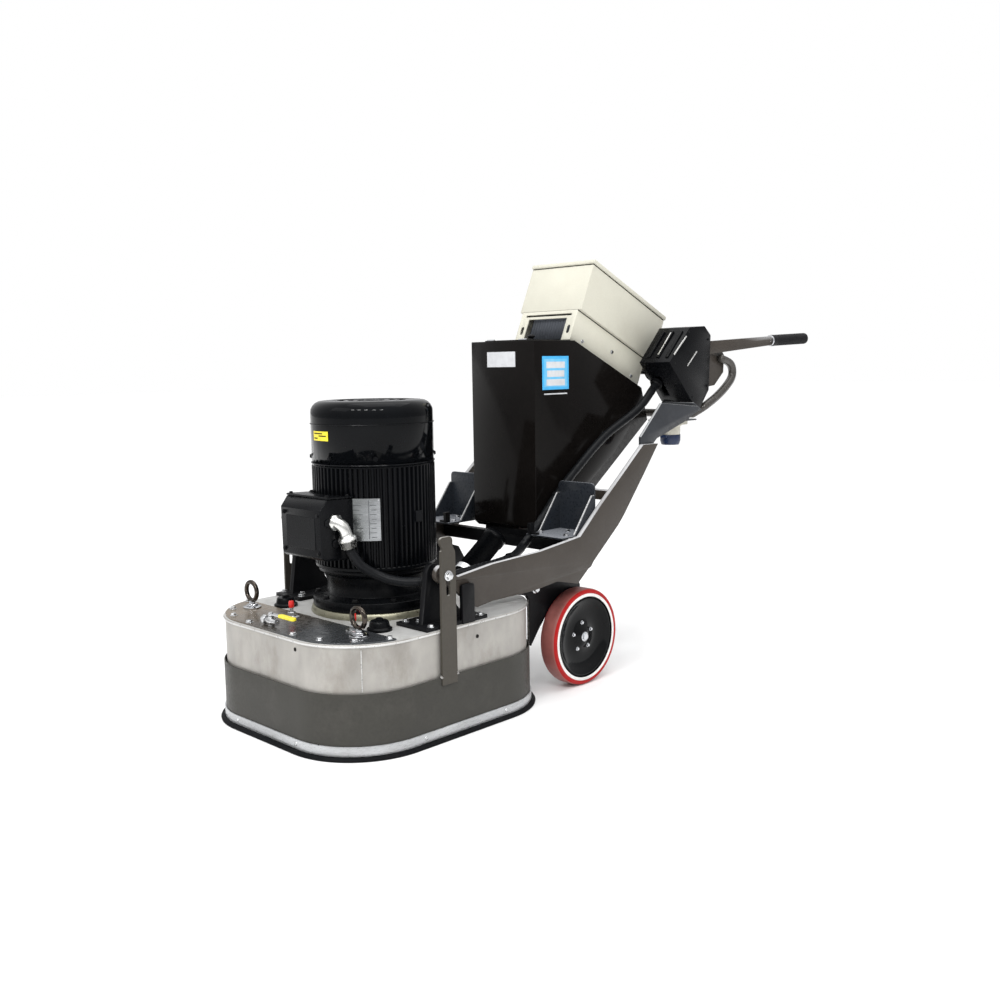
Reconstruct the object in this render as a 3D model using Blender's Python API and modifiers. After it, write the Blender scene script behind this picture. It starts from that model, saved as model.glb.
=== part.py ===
"""Walk-behind planetary concrete grinder with a floating dust shroud.

The machine stands on its grinding discs, its rubber skirt and two wheels, all at z = 0.
The front of the head faces -Y, the handle points to +Y, and the operator's left is +X.
Every piece is modelled in machine coordinates, with the motor's axis on x = 0, y = 0.
One root empty then moves the whole machine so that its box is centred on the origin.
"""

import math

import bmesh
import bpy
from mathutils import Matrix, Vector

# ---------------------------------------------------------------- driving dimensions (metres)

MOTOR_AXIS_Y = -0.6921          # where the motor's axis stands along the finished machine
GAP = 0.0003                    # clearance between pieces that touch

HEAD_HALF_WIDTH = 0.356
HEAD_HALF_LENGTH = 0.391
HEAD_CORNER = 0.212
HEAD_CORNER_STEPS = 7
DECK_TOP = 0.299
DECK_THICKNESS = 0.012
HOUSING_INSET = 0.0085
HOUSING_WALL = 0.007
HOUSING_BOTTOM = 0.150
LIP_INSET = 0.0045
LIP_HEIGHT = 0.008
SHROUD_TOP = 0.172
SHROUD_BOTTOM = 0.012
SHROUD_WALL = 0.004
STRIP_TOP = 0.037
STRIP_BOTTOM = 0.010
STRIP_THICKNESS = 0.0035
SKIRT_FLARE = 0.016
SKIRT_TOP = 0.030

STRAP_Y = -0.0515
STRAP_WIDTH = 0.055
STRAP_TOP = 0.546
STRAP_INNER_X = 0.3526
STRAP_THICKNESS = 0.007
SLOT_WIDTH = 0.0135
SLOT_BOTTOM = 0.388

PIVOT_Y = -0.0515
PIVOT_Z = 0.4425
PIVOT_PIN_RADIUS = 0.006

MOTOR_RADIUS = 0.1745
MOTOR_FIN_DEPTH = 0.009
MOTOR_FINS = 36
MOTOR_TOP = 0.896
MOTOR_SEAM = 0.718
MOTOR_BOTTOM = 0.430
ADAPTOR_BOTTOM = 0.317
RING_RADIUS = 0.186
SHAFT_RADIUS = 0.019

DRUM_TOP = 0.112
DRUM_RADIUS = 0.318
DRUM_THICKNESS = 0.012
DISC_RADIUS = 0.118
DISC_ORBIT = 0.196
DISC_COUNT = 3

WHEEL_RADIUS = 0.150
WHEEL_Y = 0.557
WHEEL_OUTER_X = 0.3234
WHEEL_WIDTH = 0.060
RIM_RADIUS = 0.124

FRAME_OUTER_X = 0.338
FRAME_THICKNESS = 0.016

TANK_HALF_WIDTH = 0.139
TANK_FRONT_Y = 0.534
TANK_TOP = 1.0627
TANK_WALL = 0.004

CABINET_TILT = math.radians(24.2)
CHANNEL_FRONT = (0.722, 1.066)
CHANNEL_HALF_WIDTH = 0.122
CHANNEL_HEIGHT = 0.1056
CHANNEL_LENGTH = 0.395
CABINET_HALF_WIDTH = 0.1345
CABINET_LENGTH = 0.428
CABINET_HEIGHT = 0.160
LID_THICKNESS = 0.014
LID_OVERHANG = 0.004

BOX_OUTER_X = 0.309
BOX_INNER_X = 0.183

TUBE_RADIUS = 0.0145
GRIP_RADIUS = 0.0205

# ---------------------------------------------------------------- scene, materials, placing

FINISHES = {
    "cast_aluminium": ((0.56, 0.55, 0.53), 0.55, 0.75),
    "bronze_plate": ((0.19, 0.165, 0.15), 0.42, 0.55),
    "frame_paint": ((0.17, 0.158, 0.15), 0.48, 0.25),
    "shroud_paint": ((0.145, 0.145, 0.135), 0.50, 0.20),
    "black_gloss": ((0.022, 0.023, 0.026), 0.28, 0.10),
    "black_satin": ((0.028, 0.028, 0.030), 0.45, 0.20),
    "zinc": ((0.72, 0.73, 0.74), 0.30, 0.95),
    "steel": ((0.50, 0.51, 0.52), 0.35, 0.95),
    "bright_strip": ((0.78, 0.79, 0.80), 0.32, 0.90),
    "black_rubber": ((0.020, 0.021, 0.023), 0.75, 0.0),
    "red_rubber": ((0.62, 0.28, 0.24), 0.55, 0.0),
    "red_plastic": ((0.75, 0.03, 0.02), 0.35, 0.0),
    "yellow_plastic": ((0.85, 0.72, 0.05), 0.40, 0.0),
    "green_plastic": ((0.05, 0.42, 0.12), 0.38, 0.0),
    "blue_plastic": ((0.03, 0.10, 0.28), 0.38, 0.0),
    "cream_paint": ((0.78, 0.76, 0.70), 0.45, 0.05),
    "grey_sheet": ((0.42, 0.43, 0.45), 0.42, 0.50),
    "olive_metal": ((0.58, 0.57, 0.48), 0.40, 0.70),
    "segment_metal": ((0.40, 0.34, 0.22), 0.60, 0.80),
}


def clear_scene():
    for thing in list(bpy.data.objects):
        bpy.data.objects.remove(thing, do_unlink=True)


def new_collection(name):
    collection = bpy.data.collections.new(name)
    bpy.context.scene.collection.children.link(collection)
    return collection


def finish_material(name, finish):
    colour, roughness, metallic = FINISHES[finish]
    material = bpy.data.materials.new(name + "_finish")
    material.use_nodes = True
    shader = material.node_tree.nodes["Principled BSDF"]
    shader.inputs["Base Color"].default_value = (*colour, 1.0)
    shader.inputs["Roughness"].default_value = roughness
    shader.inputs["Metallic"].default_value = metallic
    material.diffuse_color = (*colour, 1.0)
    return material


def add_axis(name, location, root=None):
    """An empty that stands on a joint's axis, in machine coordinates."""
    empty = bpy.data.objects.new(name, None)
    empty.location = location
    empty.parent = root
    bpy.context.scene.collection.objects.link(empty)
    return empty


def finish_part(solid, name, finish, axis, smooth_angle=35.0):
    """Name a solid, give it its material and hang it on its axis without moving it."""
    solid.name = name
    solid.data.name = name
    solid.data.materials.clear()
    solid.data.materials.append(finish_material(name, finish))
    solid.data.shade_smooth()
    solid.data.set_sharp_from_angle(angle=math.radians(smooth_angle))
    solid.parent = axis
    if axis.parent is not None:
        solid.location = -axis.location
    return solid


# ---------------------------------------------------------------- modelling tools

def tidy_mesh(mesh):
    work = bmesh.new()
    work.from_mesh(mesh)
    bmesh.ops.remove_doubles(work, verts=work.verts, dist=0.00002)
    bmesh.ops.recalc_face_normals(work, faces=work.faces)
    work.to_mesh(mesh)
    work.free()


def evaluated_copy(source):
    """Bake an object's modifiers or curve into a plain mesh object in machine space."""
    graph = bpy.context.evaluated_depsgraph_get()
    graph.update()
    mesh = bpy.data.meshes.new_from_object(source.evaluated_get(graph))
    mesh.transform(source.matrix_world)
    tidy_mesh(mesh)
    name = source.name
    bpy.data.objects.remove(source, do_unlink=True)
    solid = bpy.data.objects.new(name, mesh)
    PARTS.objects.link(solid)
    return solid


def place_matrix(origin, x_axis, y_axis):
    x_axis = Vector(x_axis).normalized()
    y_axis = Vector(y_axis).normalized()
    z_axis = x_axis.cross(y_axis)
    matrix = Matrix((x_axis, y_axis, z_axis)).transposed().to_4x4()
    matrix.translation = Vector(origin)
    return matrix


def plate(loops, thickness, matrix):
    """A flat outline, with any holes, given a thickness along the matrix's Z, centred on it."""
    curve = bpy.data.curves.new("outline", "CURVE")
    curve.dimensions = "2D"
    curve.fill_mode = "BOTH"
    curve.extrude = thickness / 2
    for loop in loops:
        spline = curve.splines.new("POLY")
        spline.points.add(len(loop) - 1)
        for point, (u, v) in zip(spline.points, loop):
            point.co = (u, v, 0.0, 1.0)
        spline.use_cyclic_u = True
    holder = bpy.data.objects.new("outline", curve)
    PARTS.objects.link(holder)
    holder.matrix_world = matrix
    bpy.context.view_layer.update()
    return evaluated_copy(holder)


def level_plate(loops, z_low, z_high):
    matrix = Matrix.Translation((0.0, 0.0, (z_low + z_high) / 2))
    return plate(loops, z_high - z_low, matrix)


def side_plate(loops, x_low, x_high):
    """An outline drawn in (y, z), standing upright between two x values."""
    matrix = place_matrix(((x_low + x_high) / 2, 0.0, 0.0), (0, 1, 0), (0, 0, 1))
    return plate(loops, x_high - x_low, matrix)


def front_plate(loops, y_low, y_high):
    """An outline drawn in (x, z), standing upright between two y values."""
    matrix = place_matrix((0.0, (y_low + y_high) / 2, 0.0), (1, 0, 0), (0, 0, 1))
    return plate(loops, y_high - y_low, matrix)


def block(low, high, bevel=0.0, matrix=None):
    """A box between two corners, with its edges rounded if asked."""
    bpy.ops.mesh.primitive_cube_add(size=1.0)
    box = bpy.context.active_object
    size = [h - l for l, h in zip(low, high)]
    centre = [(h + l) / 2 for l, h in zip(low, high)]
    box.data.transform(Matrix.Translation(centre) @ Matrix.Diagonal((*size, 1.0)))
    if matrix is not None:
        box.matrix_world = matrix
    if bevel > 0.0:
        rounding = box.modifiers.new("rounding", "BEVEL")
        rounding.width = bevel
        rounding.segments = 2
    bpy.context.view_layer.update()
    return evaluated_copy(box)


def turned(profile, steps, matrix, closed=False):
    """A profile of (radius, height), from top to bottom, turned round the matrix's Z."""
    mesh = bpy.data.meshes.new("profile")
    points = [(radius, 0.0, height) for radius, height in profile]
    edges = [(i, i + 1) for i in range(len(points) - 1)]
    if closed:
        edges.append((len(points) - 1, 0))
    mesh.from_pydata(points, edges, [])
    spun = bpy.data.objects.new("profile", mesh)
    PARTS.objects.link(spun)
    spun.matrix_world = matrix
    screw = spun.modifiers.new("turn", "SCREW")
    screw.steps = steps
    screw.render_steps = steps
    screw.use_merge_vertices = True
    screw.merge_threshold = 0.00005
    bpy.context.view_layer.update()
    return evaluated_copy(spun)


def upright(x=0.0, y=0.0):
    return Matrix.Translation((x, y, 0.0))


def crosswise(y, z, direction=1):
    """Local Z lies along +X, or along -X."""
    x_axis = (0, direction, 0)
    return place_matrix((0.0, y, z), x_axis, (0, 0, 1))


def rod(start, end, radius, steps=16):
    start = Vector(start)
    end = Vector(end)
    span = end - start
    turn = span.to_track_quat("Z", "Y").to_matrix().to_4x4()
    matrix = Matrix.Translation(start) @ turn
    return turned([(0.0, span.length), (radius, span.length), (radius, 0.0), (0.0, 0.0)],
                  steps, matrix)


def tube(points, radius, resolution=2):
    """A round bar along a chain of points, with filled ends."""
    curve = bpy.data.curves.new("run", "CURVE")
    curve.dimensions = "3D"
    curve.bevel_depth = radius
    curve.bevel_resolution = resolution
    curve.use_fill_caps = True
    spline = curve.splines.new("POLY")
    spline.points.add(len(points) - 1)
    for point, place in zip(spline.points, points):
        point.co = (*place, 1.0)
    holder = bpy.data.objects.new("run", curve)
    PARTS.objects.link(holder)
    bpy.context.view_layer.update()
    return evaluated_copy(holder)


def combine(base, tool, operation):
    """Join or cut with an exact Boolean, and use up the tool."""
    boolean = base.modifiers.new("combine", "BOOLEAN")
    boolean.operation = operation
    boolean.solver = "EXACT"
    boolean.object = tool
    bpy.context.view_layer.update()
    result = evaluated_copy(base)
    bpy.data.objects.remove(tool, do_unlink=True)
    return result


def join(base, *tools):
    for tool in tools:
        base = combine(base, tool, "UNION")
    return base


def cut(base, *tools):
    for tool in tools:
        base = combine(base, tool, "DIFFERENCE")
    return base


def arc(centre, radius, start, end, steps):
    """Points on an arc, in degrees, both ends included."""
    points = []
    for i in range(steps + 1):
        angle = math.radians(start + (end - start) * i / steps)
        points.append((centre[0] + radius * math.cos(angle),
                       centre[1] + radius * math.sin(angle)))
    return points


def circle(centre, radius, steps):
    return arc(centre, radius, 0.0, 360.0 * (steps - 1) / steps, steps - 1)


def rectangle(low, high):
    return [(low[0], low[1]), (high[0], low[1]), (high[0], high[1]), (low[0], high[1])]


def rounded_rectangle(half_x, half_y, radius, steps, centre=(0.0, 0.0)):
    points = []
    for quarter, (sx, sy) in enumerate(((1, 1), (-1, 1), (-1, -1), (1, -1))):
        corner = (centre[0] + sx * (half_x - radius), centre[1] + sy * (half_y - radius))
        points += arc(corner, radius, 90.0 * quarter, 90.0 * (quarter + 1), steps)
    return points


def head_outline(offset):
    """The head's plan, grown outwards by offset."""
    return rounded_rectangle(HEAD_HALF_WIDTH + offset, HEAD_HALF_LENGTH + offset,
                             HEAD_CORNER + offset, HEAD_CORNER_STEPS)


def inset_loop(loop, inset):
    """A loop that runs anticlockwise, moved inwards by the same distance on every side."""
    inner = []
    count = len(loop)
    for i in range(count):
        here = Vector(loop[i])
        first = (here - Vector(loop[i - 1])).normalized()
        second = (Vector(loop[(i + 1) % count]) - here).normalized()
        left_a = Vector((-first.y, first.x))
        left_b = Vector((-second.y, second.x))
        inner.append(tuple(here + (left_a + left_b) * (inset / (1.0 + left_a.dot(left_b)))))
    return inner


def smooth_run(points, steps):
    """Catmull-Rom points through a chain of hand-placed points."""
    anchors = [Vector(p) for p in points]
    chain = [2 * anchors[0] - anchors[1], *anchors, 2 * anchors[-1] - anchors[-2]]
    result = []
    for i in range(1, len(chain) - 2):
        a, b, c, d = chain[i - 1:i + 3]
        for k in range(steps):
            t = k / steps
            result.append(0.5 * (2 * b + (c - a) * t + (2 * a - 5 * b + 4 * c - d) * t ** 2
                                 + (3 * b - a - 3 * c + d) * t ** 3))
    result.append(anchors[-1])
    return result


def side_name(side):
    return "left" if side > 0 else "right"


def span(side, low, high):
    """Two x values on one side of the machine, in rising order."""
    return (side * low, side * high) if side > 0 else (side * high, side * low)


# ---------------------------------------------------------------- grinding head

DUST_PIPE_START = (0.0, 0.300, 0.302)
DUST_PIPE_ANGLE = math.radians(35.7)
DUST_PIPE_LENGTH = 0.235
DUST_BORE = 0.032


def dust_pipe_line():
    """Where the suction pipe leaves the deck, and the way it leans."""
    direction = Vector((0.0, math.cos(DUST_PIPE_ANGLE), math.sin(DUST_PIPE_ANGLE)))
    return Vector(DUST_PIPE_START), direction


def make_deck_housing(axis):
    wall = level_plate([head_outline(-HOUSING_INSET)], HOUSING_BOTTOM, DECK_TOP)
    lip = level_plate([head_outline(-LIP_INSET)], DECK_TOP - LIP_HEIGHT, DECK_TOP)
    inside = level_plate([head_outline(-HOUSING_INSET - HOUSING_WALL)],
                         HOUSING_BOTTOM - 0.01, DECK_TOP - DECK_THICKNESS)
    shaft_hole = rod((0, 0, 0.25), (0, 0, 0.32), 0.0703, 32)
    start, direction = dust_pipe_line()
    dust_hole = rod(start - direction * 0.08, start + direction * 0.08, DUST_BORE, 28)
    housing = cut(join(wall, lip), inside, shaft_hole, dust_hole)
    return finish_part(housing, "deck_housing", "cast_aluminium", axis)


def make_front_cover(axis):
    """The flat cover over the front half of the deck, cut straight across behind."""
    inset = 0.0095
    plan = rounded_rectangle(HEAD_HALF_WIDTH - inset, HEAD_HALF_LENGTH - inset,
                             HEAD_CORNER - inset, HEAD_CORNER_STEPS)
    rear_edge = -0.216
    front = [p for p in plan if p[1] < rear_edge]
    start = (front[0][0], rear_edge)
    end = (front[-1][0], rear_edge)
    loop = [start, *front, end]
    cover = level_plate([loop], DECK_TOP + GAP, DECK_TOP + 0.0043)
    return finish_part(cover, "front_cover_plate", "bronze_plate", axis)


def make_gearbox(axis):
    """The gear housing under the deck, with a bore for the motor's shaft."""
    profile = [(0.030, 0.286 - GAP), (0.150, 0.286 - GAP), (0.160, 0.270), (0.160, 0.180),
               (0.120, 0.160), (0.060, 0.150), (0.030, 0.150)]
    housing = turned(profile, 40, upright(), closed=True)
    return finish_part(housing, "gearbox_housing", "steel", axis)


def make_adaptor_ring(axis):
    profile = [(0.150, ADAPTOR_BOTTOM - GAP), (RING_RADIUS, ADAPTOR_BOTTOM - GAP),
               (RING_RADIUS + 0.003, 0.308), (RING_RADIUS + 0.006, DECK_TOP + GAP),
               (0.150, DECK_TOP + GAP)]
    ring = turned(profile, 40, upright(), closed=True)
    return finish_part(ring, "adaptor_ring", "olive_metal", axis)


def make_motor_adaptor(axis):
    """The bell between the motor and the deck, with a bolting flange at each end."""
    outer = [(0.165, MOTOR_BOTTOM - GAP), (0.165, MOTOR_BOTTOM - 0.012), (0.150, 0.408),
             (0.142, 0.380), (0.145, 0.352), (0.184, 0.345), (0.184, ADAPTOR_BOTTOM)]
    inner = [(0.110, ADAPTOR_BOTTOM), (0.110, MOTOR_BOTTOM - GAP)]
    bell = turned(outer + inner, 40, upright(), closed=True)
    return finish_part(bell, "motor_adaptor", "black_gloss", axis)


def make_motor_body(axis):
    """A finned barrel, hollow for the rotor, open at both ends for the shaft."""
    teeth = []
    pitch = 360.0 / MOTOR_FINS
    root_radius = MOTOR_RADIUS - MOTOR_FIN_DEPTH
    for i in range(MOTOR_FINS):
        for radius, part in ((root_radius, -0.30), (MOTOR_RADIUS, -0.14),
                             (MOTOR_RADIUS, 0.14), (root_radius, 0.30)):
            angle = math.radians(pitch * (i + part))
            teeth.append((radius * math.cos(angle), radius * math.sin(angle)))
    barrel = level_plate([teeth, circle((0, 0), 0.108, 32)], MOTOR_BOTTOM, MOTOR_SEAM)
    end_shield = level_plate([circle((0, 0), 0.158, 40), circle((0, 0), 0.032, 24)],
                             MOTOR_SEAM - 0.014, MOTOR_SEAM)
    return finish_part(join(barrel, end_shield), "motor_body", "black_gloss", axis, 25.0)


def make_fan_cowl(axis):
    wall = 0.003
    top = MOTOR_TOP
    outer = [(0.110, top), (0.140, top)]
    outer += arc((0.140, top - 0.0335), 0.0335, 90.0, 0.0, 5)[1:]
    outer += [(0.1735, MOTOR_SEAM + GAP)]
    inner = [(radius - wall, min(height, top - wall)) for radius, height in outer[:0:-1]]
    shell = turned(outer + inner + [(0.110, top - wall)], 40, upright(), closed=True)
    grille = level_plate([circle((0, 0), 0.1115, 24)], top - 0.0022, top - 0.0004)
    slots = []
    for ring_radius in (0.040, 0.070, 0.098):
        for quarter in range(4):
            start = 90.0 * quarter + 9.0
            sector = arc((0, 0), ring_radius, start, start + 72.0, 4)
            sector += arc((0, 0), ring_radius - 0.018, start + 72.0, start, 3)
            slots.append(level_plate([sector], top - 0.010, top + 0.010))
    return finish_part(cut(join(shell, grille), *slots), "fan_cowl", "black_gloss", axis)


def make_motor_shaft(axis):
    profile = [(0.0, 0.800), (0.012, 0.800), (0.012, 0.724), (0.028, 0.722), (0.028, 0.700),
               (0.080, 0.690), (0.080, 0.460), (0.030, 0.450), (0.028, 0.300),
               (SHAFT_RADIUS, 0.296), (SHAFT_RADIUS, 0.240), (0.0, 0.240)]
    shaft = turned(profile, 24, upright())
    return finish_part(shaft, "motor_shaft", "steel", axis)


def make_cooling_fan(axis):
    """A bladed wheel on the shaft, under the cowl."""
    hub = turned([(0.0125, 0.785), (0.030, 0.785), (0.030, 0.745), (0.130, 0.742),
                  (0.130, 0.738), (0.0125, 0.738)], 28, upright(), closed=True)
    blades = []
    for i in range(8):
        turn = Matrix.Rotation(math.radians(45.0 * i), 4, "Z")
        blades.append(block((0.025, -0.0015, 0.740), (0.128, 0.0015, 0.782), matrix=turn))
    return finish_part(join(hub, *blades), "cooling_fan", "black_satin", axis)


def make_drum(carrier_axis, disc_axes):
    carrier = turned([(0.0, DRUM_TOP + 0.036), (0.052, DRUM_TOP + 0.036), (0.058, DRUM_TOP),
                      (DRUM_RADIUS, DRUM_TOP), (DRUM_RADIUS, DRUM_TOP - DRUM_THICKNESS),
                      (0.0, DRUM_TOP - DRUM_THICKNESS)], 48, upright())
    finish_part(carrier, "planet_carrier", "steel", carrier_axis)
    for number, axis in enumerate(disc_axes, start=1):
        place = Matrix.Translation(axis.location)
        top = DRUM_TOP - DRUM_THICKNESS - 0.001
        profile = [(0.0, top), (0.045, top), (0.050, 0.060), (DISC_RADIUS, 0.044),
                   (DISC_RADIUS, 0.016), (0.0, 0.016)]
        disc = turned(profile, 32, place)
        segments = []
        for k in range(3):
            turn = place @ Matrix.Rotation(math.radians(120.0 * k + 30.0 * number), 4, "Z")
            segments.append(block((0.060, -0.030, 0.0), (0.104, 0.030, 0.018), matrix=turn))
        finish_part(join(disc, *segments), "grinding_disc_%d" % number, "segment_metal", axis)


# ---------------------------------------------------------------- deck fittings

def make_eye_bolt(side, axis):
    x, y = side * 0.248, -0.264
    base = DECK_TOP + 0.0043 + GAP
    foot = turned([(0.0, base + 0.018), (0.0075, base + 0.018), (0.009, base + 0.007),
                   (0.024, base + 0.004), (0.026, base), (0.0, base)], 20, upright(x, y))
    turn = math.radians(0 if side > 0 else -15)
    facing = Matrix.Translation((x, y, base + 0.044)) @ Matrix.Rotation(turn, 4, "Z")
    facing = facing @ Matrix.Rotation(math.radians(90), 4, "X")
    ring = turned(circle((0.0235, 0.0), 0.0058, 8)[::-1], 20, facing, closed=True)
    name = "eye_bolt_" + side_name(side)
    return finish_part(join(foot, ring), name, "steel", axis, 50.0)


def make_grease_fitting(side, axis):
    x, y = (0.196, -0.240) if side > 0 else (-0.056, -0.260)
    base = DECK_TOP + 0.0043 + GAP
    profile = [(0.0, base + 0.048), (0.006, base + 0.048), (0.0075, base + 0.043),
               (0.0075, base + 0.036), (0.005, base + 0.034), (0.005, base + 0.024),
               (0.011, base + 0.022), (0.011, base + 0.012), (0.020, base + 0.009),
               (0.022, base), (0.0, base)]
    fitting = turned(profile, 20, upright(x, y))
    name = "grease_fitting_" + side_name(side)
    return finish_part(fitting, name, "zinc", axis, 50.0)


VALVE_X = -0.018
VALVE_Y = -0.352


def make_water_valve(head_axis, lever_axis):
    base = DECK_TOP + 0.0043 + GAP
    body = rod((VALVE_X - 0.028, VALVE_Y, base + 0.013), (VALVE_X + 0.028, VALVE_Y, base + 0.013),
               0.0115, 20)
    nut = rod((VALVE_X - 0.036, VALVE_Y, base + 0.013), (VALVE_X - 0.022, VALVE_Y, base + 0.013),
              0.0130, 6)
    foot = block((VALVE_X - 0.010, VALVE_Y - 0.010, base), (VALVE_X + 0.010, VALVE_Y + 0.010, base + 0.010))
    stem = rod((VALVE_X, VALVE_Y, base + 0.010), (VALVE_X, VALVE_Y, base + 0.030), 0.006, 16)
    finish_part(join(body, nut, foot, stem), "valve_body", "zinc", head_axis, 40.0)
    top = base + 0.030 + GAP
    boss = rod((VALVE_X, VALVE_Y, top), (VALVE_X, VALVE_Y, top + 0.007), 0.009, 16)
    blade = block((VALVE_X, VALVE_Y - 0.0065, top + 0.001), (VALVE_X + 0.108, VALVE_Y + 0.0065, top + 0.0055))
    grip = block((VALVE_X + 0.042, VALVE_Y - 0.0085, top - 0.001),
                 (VALVE_X + 0.112, VALVE_Y + 0.0085, top + 0.0075), 0.003)
    finish_part(join(boss, blade, grip), "valve_lever", "yellow_plastic", lever_axis, 40.0)


def make_pivot_bracket(side, axis):
    """A base plate on the deck with the pivot lug inboard and a stop post outboard."""
    low = DECK_TOP + GAP
    high = low + 0.010
    x0, x1 = span(side, 0.222, 0.346)
    base = block((x0, -0.118, low), (x1, 0.105, high))
    lug_top = (PIVOT_Y, PIVOT_Z)
    lug_loop = [(PIVOT_Y - 0.046, high - 0.002), (0.060, high - 0.002), (0.030, 0.340)]
    lug_loop += arc(lug_top, 0.026, 0.0, 180.0, 8)
    x0, x1 = span(side, 0.288, 0.306)
    lug = side_plate([lug_loop, circle(lug_top, PIVOT_PIN_RADIUS + 0.0005, 16)], x0, x1)
    post_loop = [(0.008, high - 0.002), (0.053, high - 0.002), (0.053, 0.398)]
    post_loop += arc((0.045, 0.398), 0.008, 0.0, 90.0, 3)[1:]
    post_loop += arc((0.016, 0.398), 0.008, 90.0, 180.0, 3)
    x0, x1 = span(side, 0.3386, 0.3505)
    post = side_plate([post_loop], x0, x1)
    foot_loop = rectangle((0.008, low), (0.053, high))
    x0, x1 = span(side, 0.340, 0.3505)
    foot = side_plate([foot_loop], x0, x1)
    name = "pivot_bracket_" + side_name(side)
    return finish_part(join(base, lug, post, foot), name, "black_satin", axis)


def make_pivot_bolt(side, axis):
    """The bolt that the side frame turns on; its head and washer keep the strap in line."""
    strap_outer = STRAP_INNER_X + STRAP_THICKNESS
    shank = rod((side * 0.282, PIVOT_Y, PIVOT_Z), (side * (strap_outer + 0.002), PIVOT_Y, PIVOT_Z),
                PIVOT_PIN_RADIUS, 16)
    washer = rod((side * (strap_outer + GAP), PIVOT_Y, PIVOT_Z),
                 (side * (strap_outer + 0.003), PIVOT_Y, PIVOT_Z), 0.0140, 24)
    head = rod((side * (strap_outer + 0.0025), PIVOT_Y, PIVOT_Z),
               (side * (strap_outer + 0.0105), PIVOT_Y, PIVOT_Z), 0.0105, 6)
    nut = rod((side * 0.276, PIVOT_Y, PIVOT_Z), (side * (0.288 - GAP), PIVOT_Y, PIVOT_Z), 0.0110, 6)
    name = "pivot_bolt_" + side_name(side)
    return finish_part(join(shank, washer, head, nut), name, "zinc", axis, 40.0)


def make_dust_pipe(axis):
    """The suction outlet: a wide pipe that leans back from a flange on the deck."""
    start, direction = dust_pipe_line()
    end = start + direction * DUST_PIPE_LENGTH
    pipe = rod(start, end, 0.036, 28)
    collar = rod(end - direction * 0.022, end + direction * 0.001, 0.0385, 28)
    bore = rod(start - direction * 0.10, end + direction * 0.01, DUST_BORE, 28)
    under = block((-0.1, 0.1, 0.15), (0.1, 0.6, DECK_TOP + GAP))
    foot = block((-0.055, 0.262, DECK_TOP + GAP), (0.055, 0.360, DECK_TOP + 0.009), 0.002)
    pipe = cut(join(pipe, collar, foot), bore)
    return finish_part(cut(pipe, under), "dust_pipe", "black_gloss", axis)


# ---------------------------------------------------------------- motor connections

BOX_OUT = Vector((0.0, -1.0, 0.0))       # from the motor towards the box
BOX_ACROSS = Vector((1.0, 0.0, 0.0))     # level, across the box
BOX_HALF_WIDTH = 0.092


def box_matrix():
    """Local X runs out from the motor, local Y runs back across the box, local Z is up."""
    matrix = Matrix((BOX_OUT, -BOX_ACROSS, Vector((0, 0, 1)))).transposed().to_4x4()
    return matrix


def make_conduit_box(axis):
    frame = box_matrix()
    profile = [(0.120, 0.468), (0.248, 0.476), (0.2565, 0.484), (0.2580, 0.612), (0.2360, 0.640),
               (0.160, 0.637), (0.120, 0.632)]
    stand = place_matrix((0, 0, 0), BOX_OUT, (0, 0, 1))
    body = plate([profile], 2 * BOX_HALF_WIDTH, stand)
    reach = BOX_HALF_WIDTH - 0.006
    cavity = block((0.182, -reach, 0.500), (0.232, reach, 0.660), matrix=frame)
    saddle = rod((0, 0, 0.40), (0, 0, 0.70), MOTOR_RADIUS + 0.0006, 64)
    lid_saddle = rod((0, 0, 0.40), (0, 0, 0.70), MOTOR_RADIUS + 0.0010, 64)
    finish_part(cut(body, cavity, saddle), "conduit_box", "black_gloss", axis)
    lid_loop = [(0.1460, 0.6368), (0.2362, 0.6404), (0.2362, 0.6464), (0.1460, 0.6424)]
    lid = cut(plate([lid_loop], 2 * BOX_HALF_WIDTH + 0.004, stand), lid_saddle)
    finish_part(lid, "conduit_box_lid", "black_gloss", axis)


CONDUIT_RADIUS = 0.0140
CONDUIT_START = Vector((0.1180, -0.1870, 0.5120))
CONDUIT_JUNCTION = Vector((0.2560, PIVOT_Y, PIVOT_Z - 0.030))
JUNCTION_DIRECTION = Vector((0.50, 0.866, 0.0)).normalized()
BOX_UNDERSIDE = Vector((0.2100, 1.0770, 0.9200))
BOX_UNDERSIDE_NORMAL = Vector((0.0, 0.7229, 0.6910))


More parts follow.
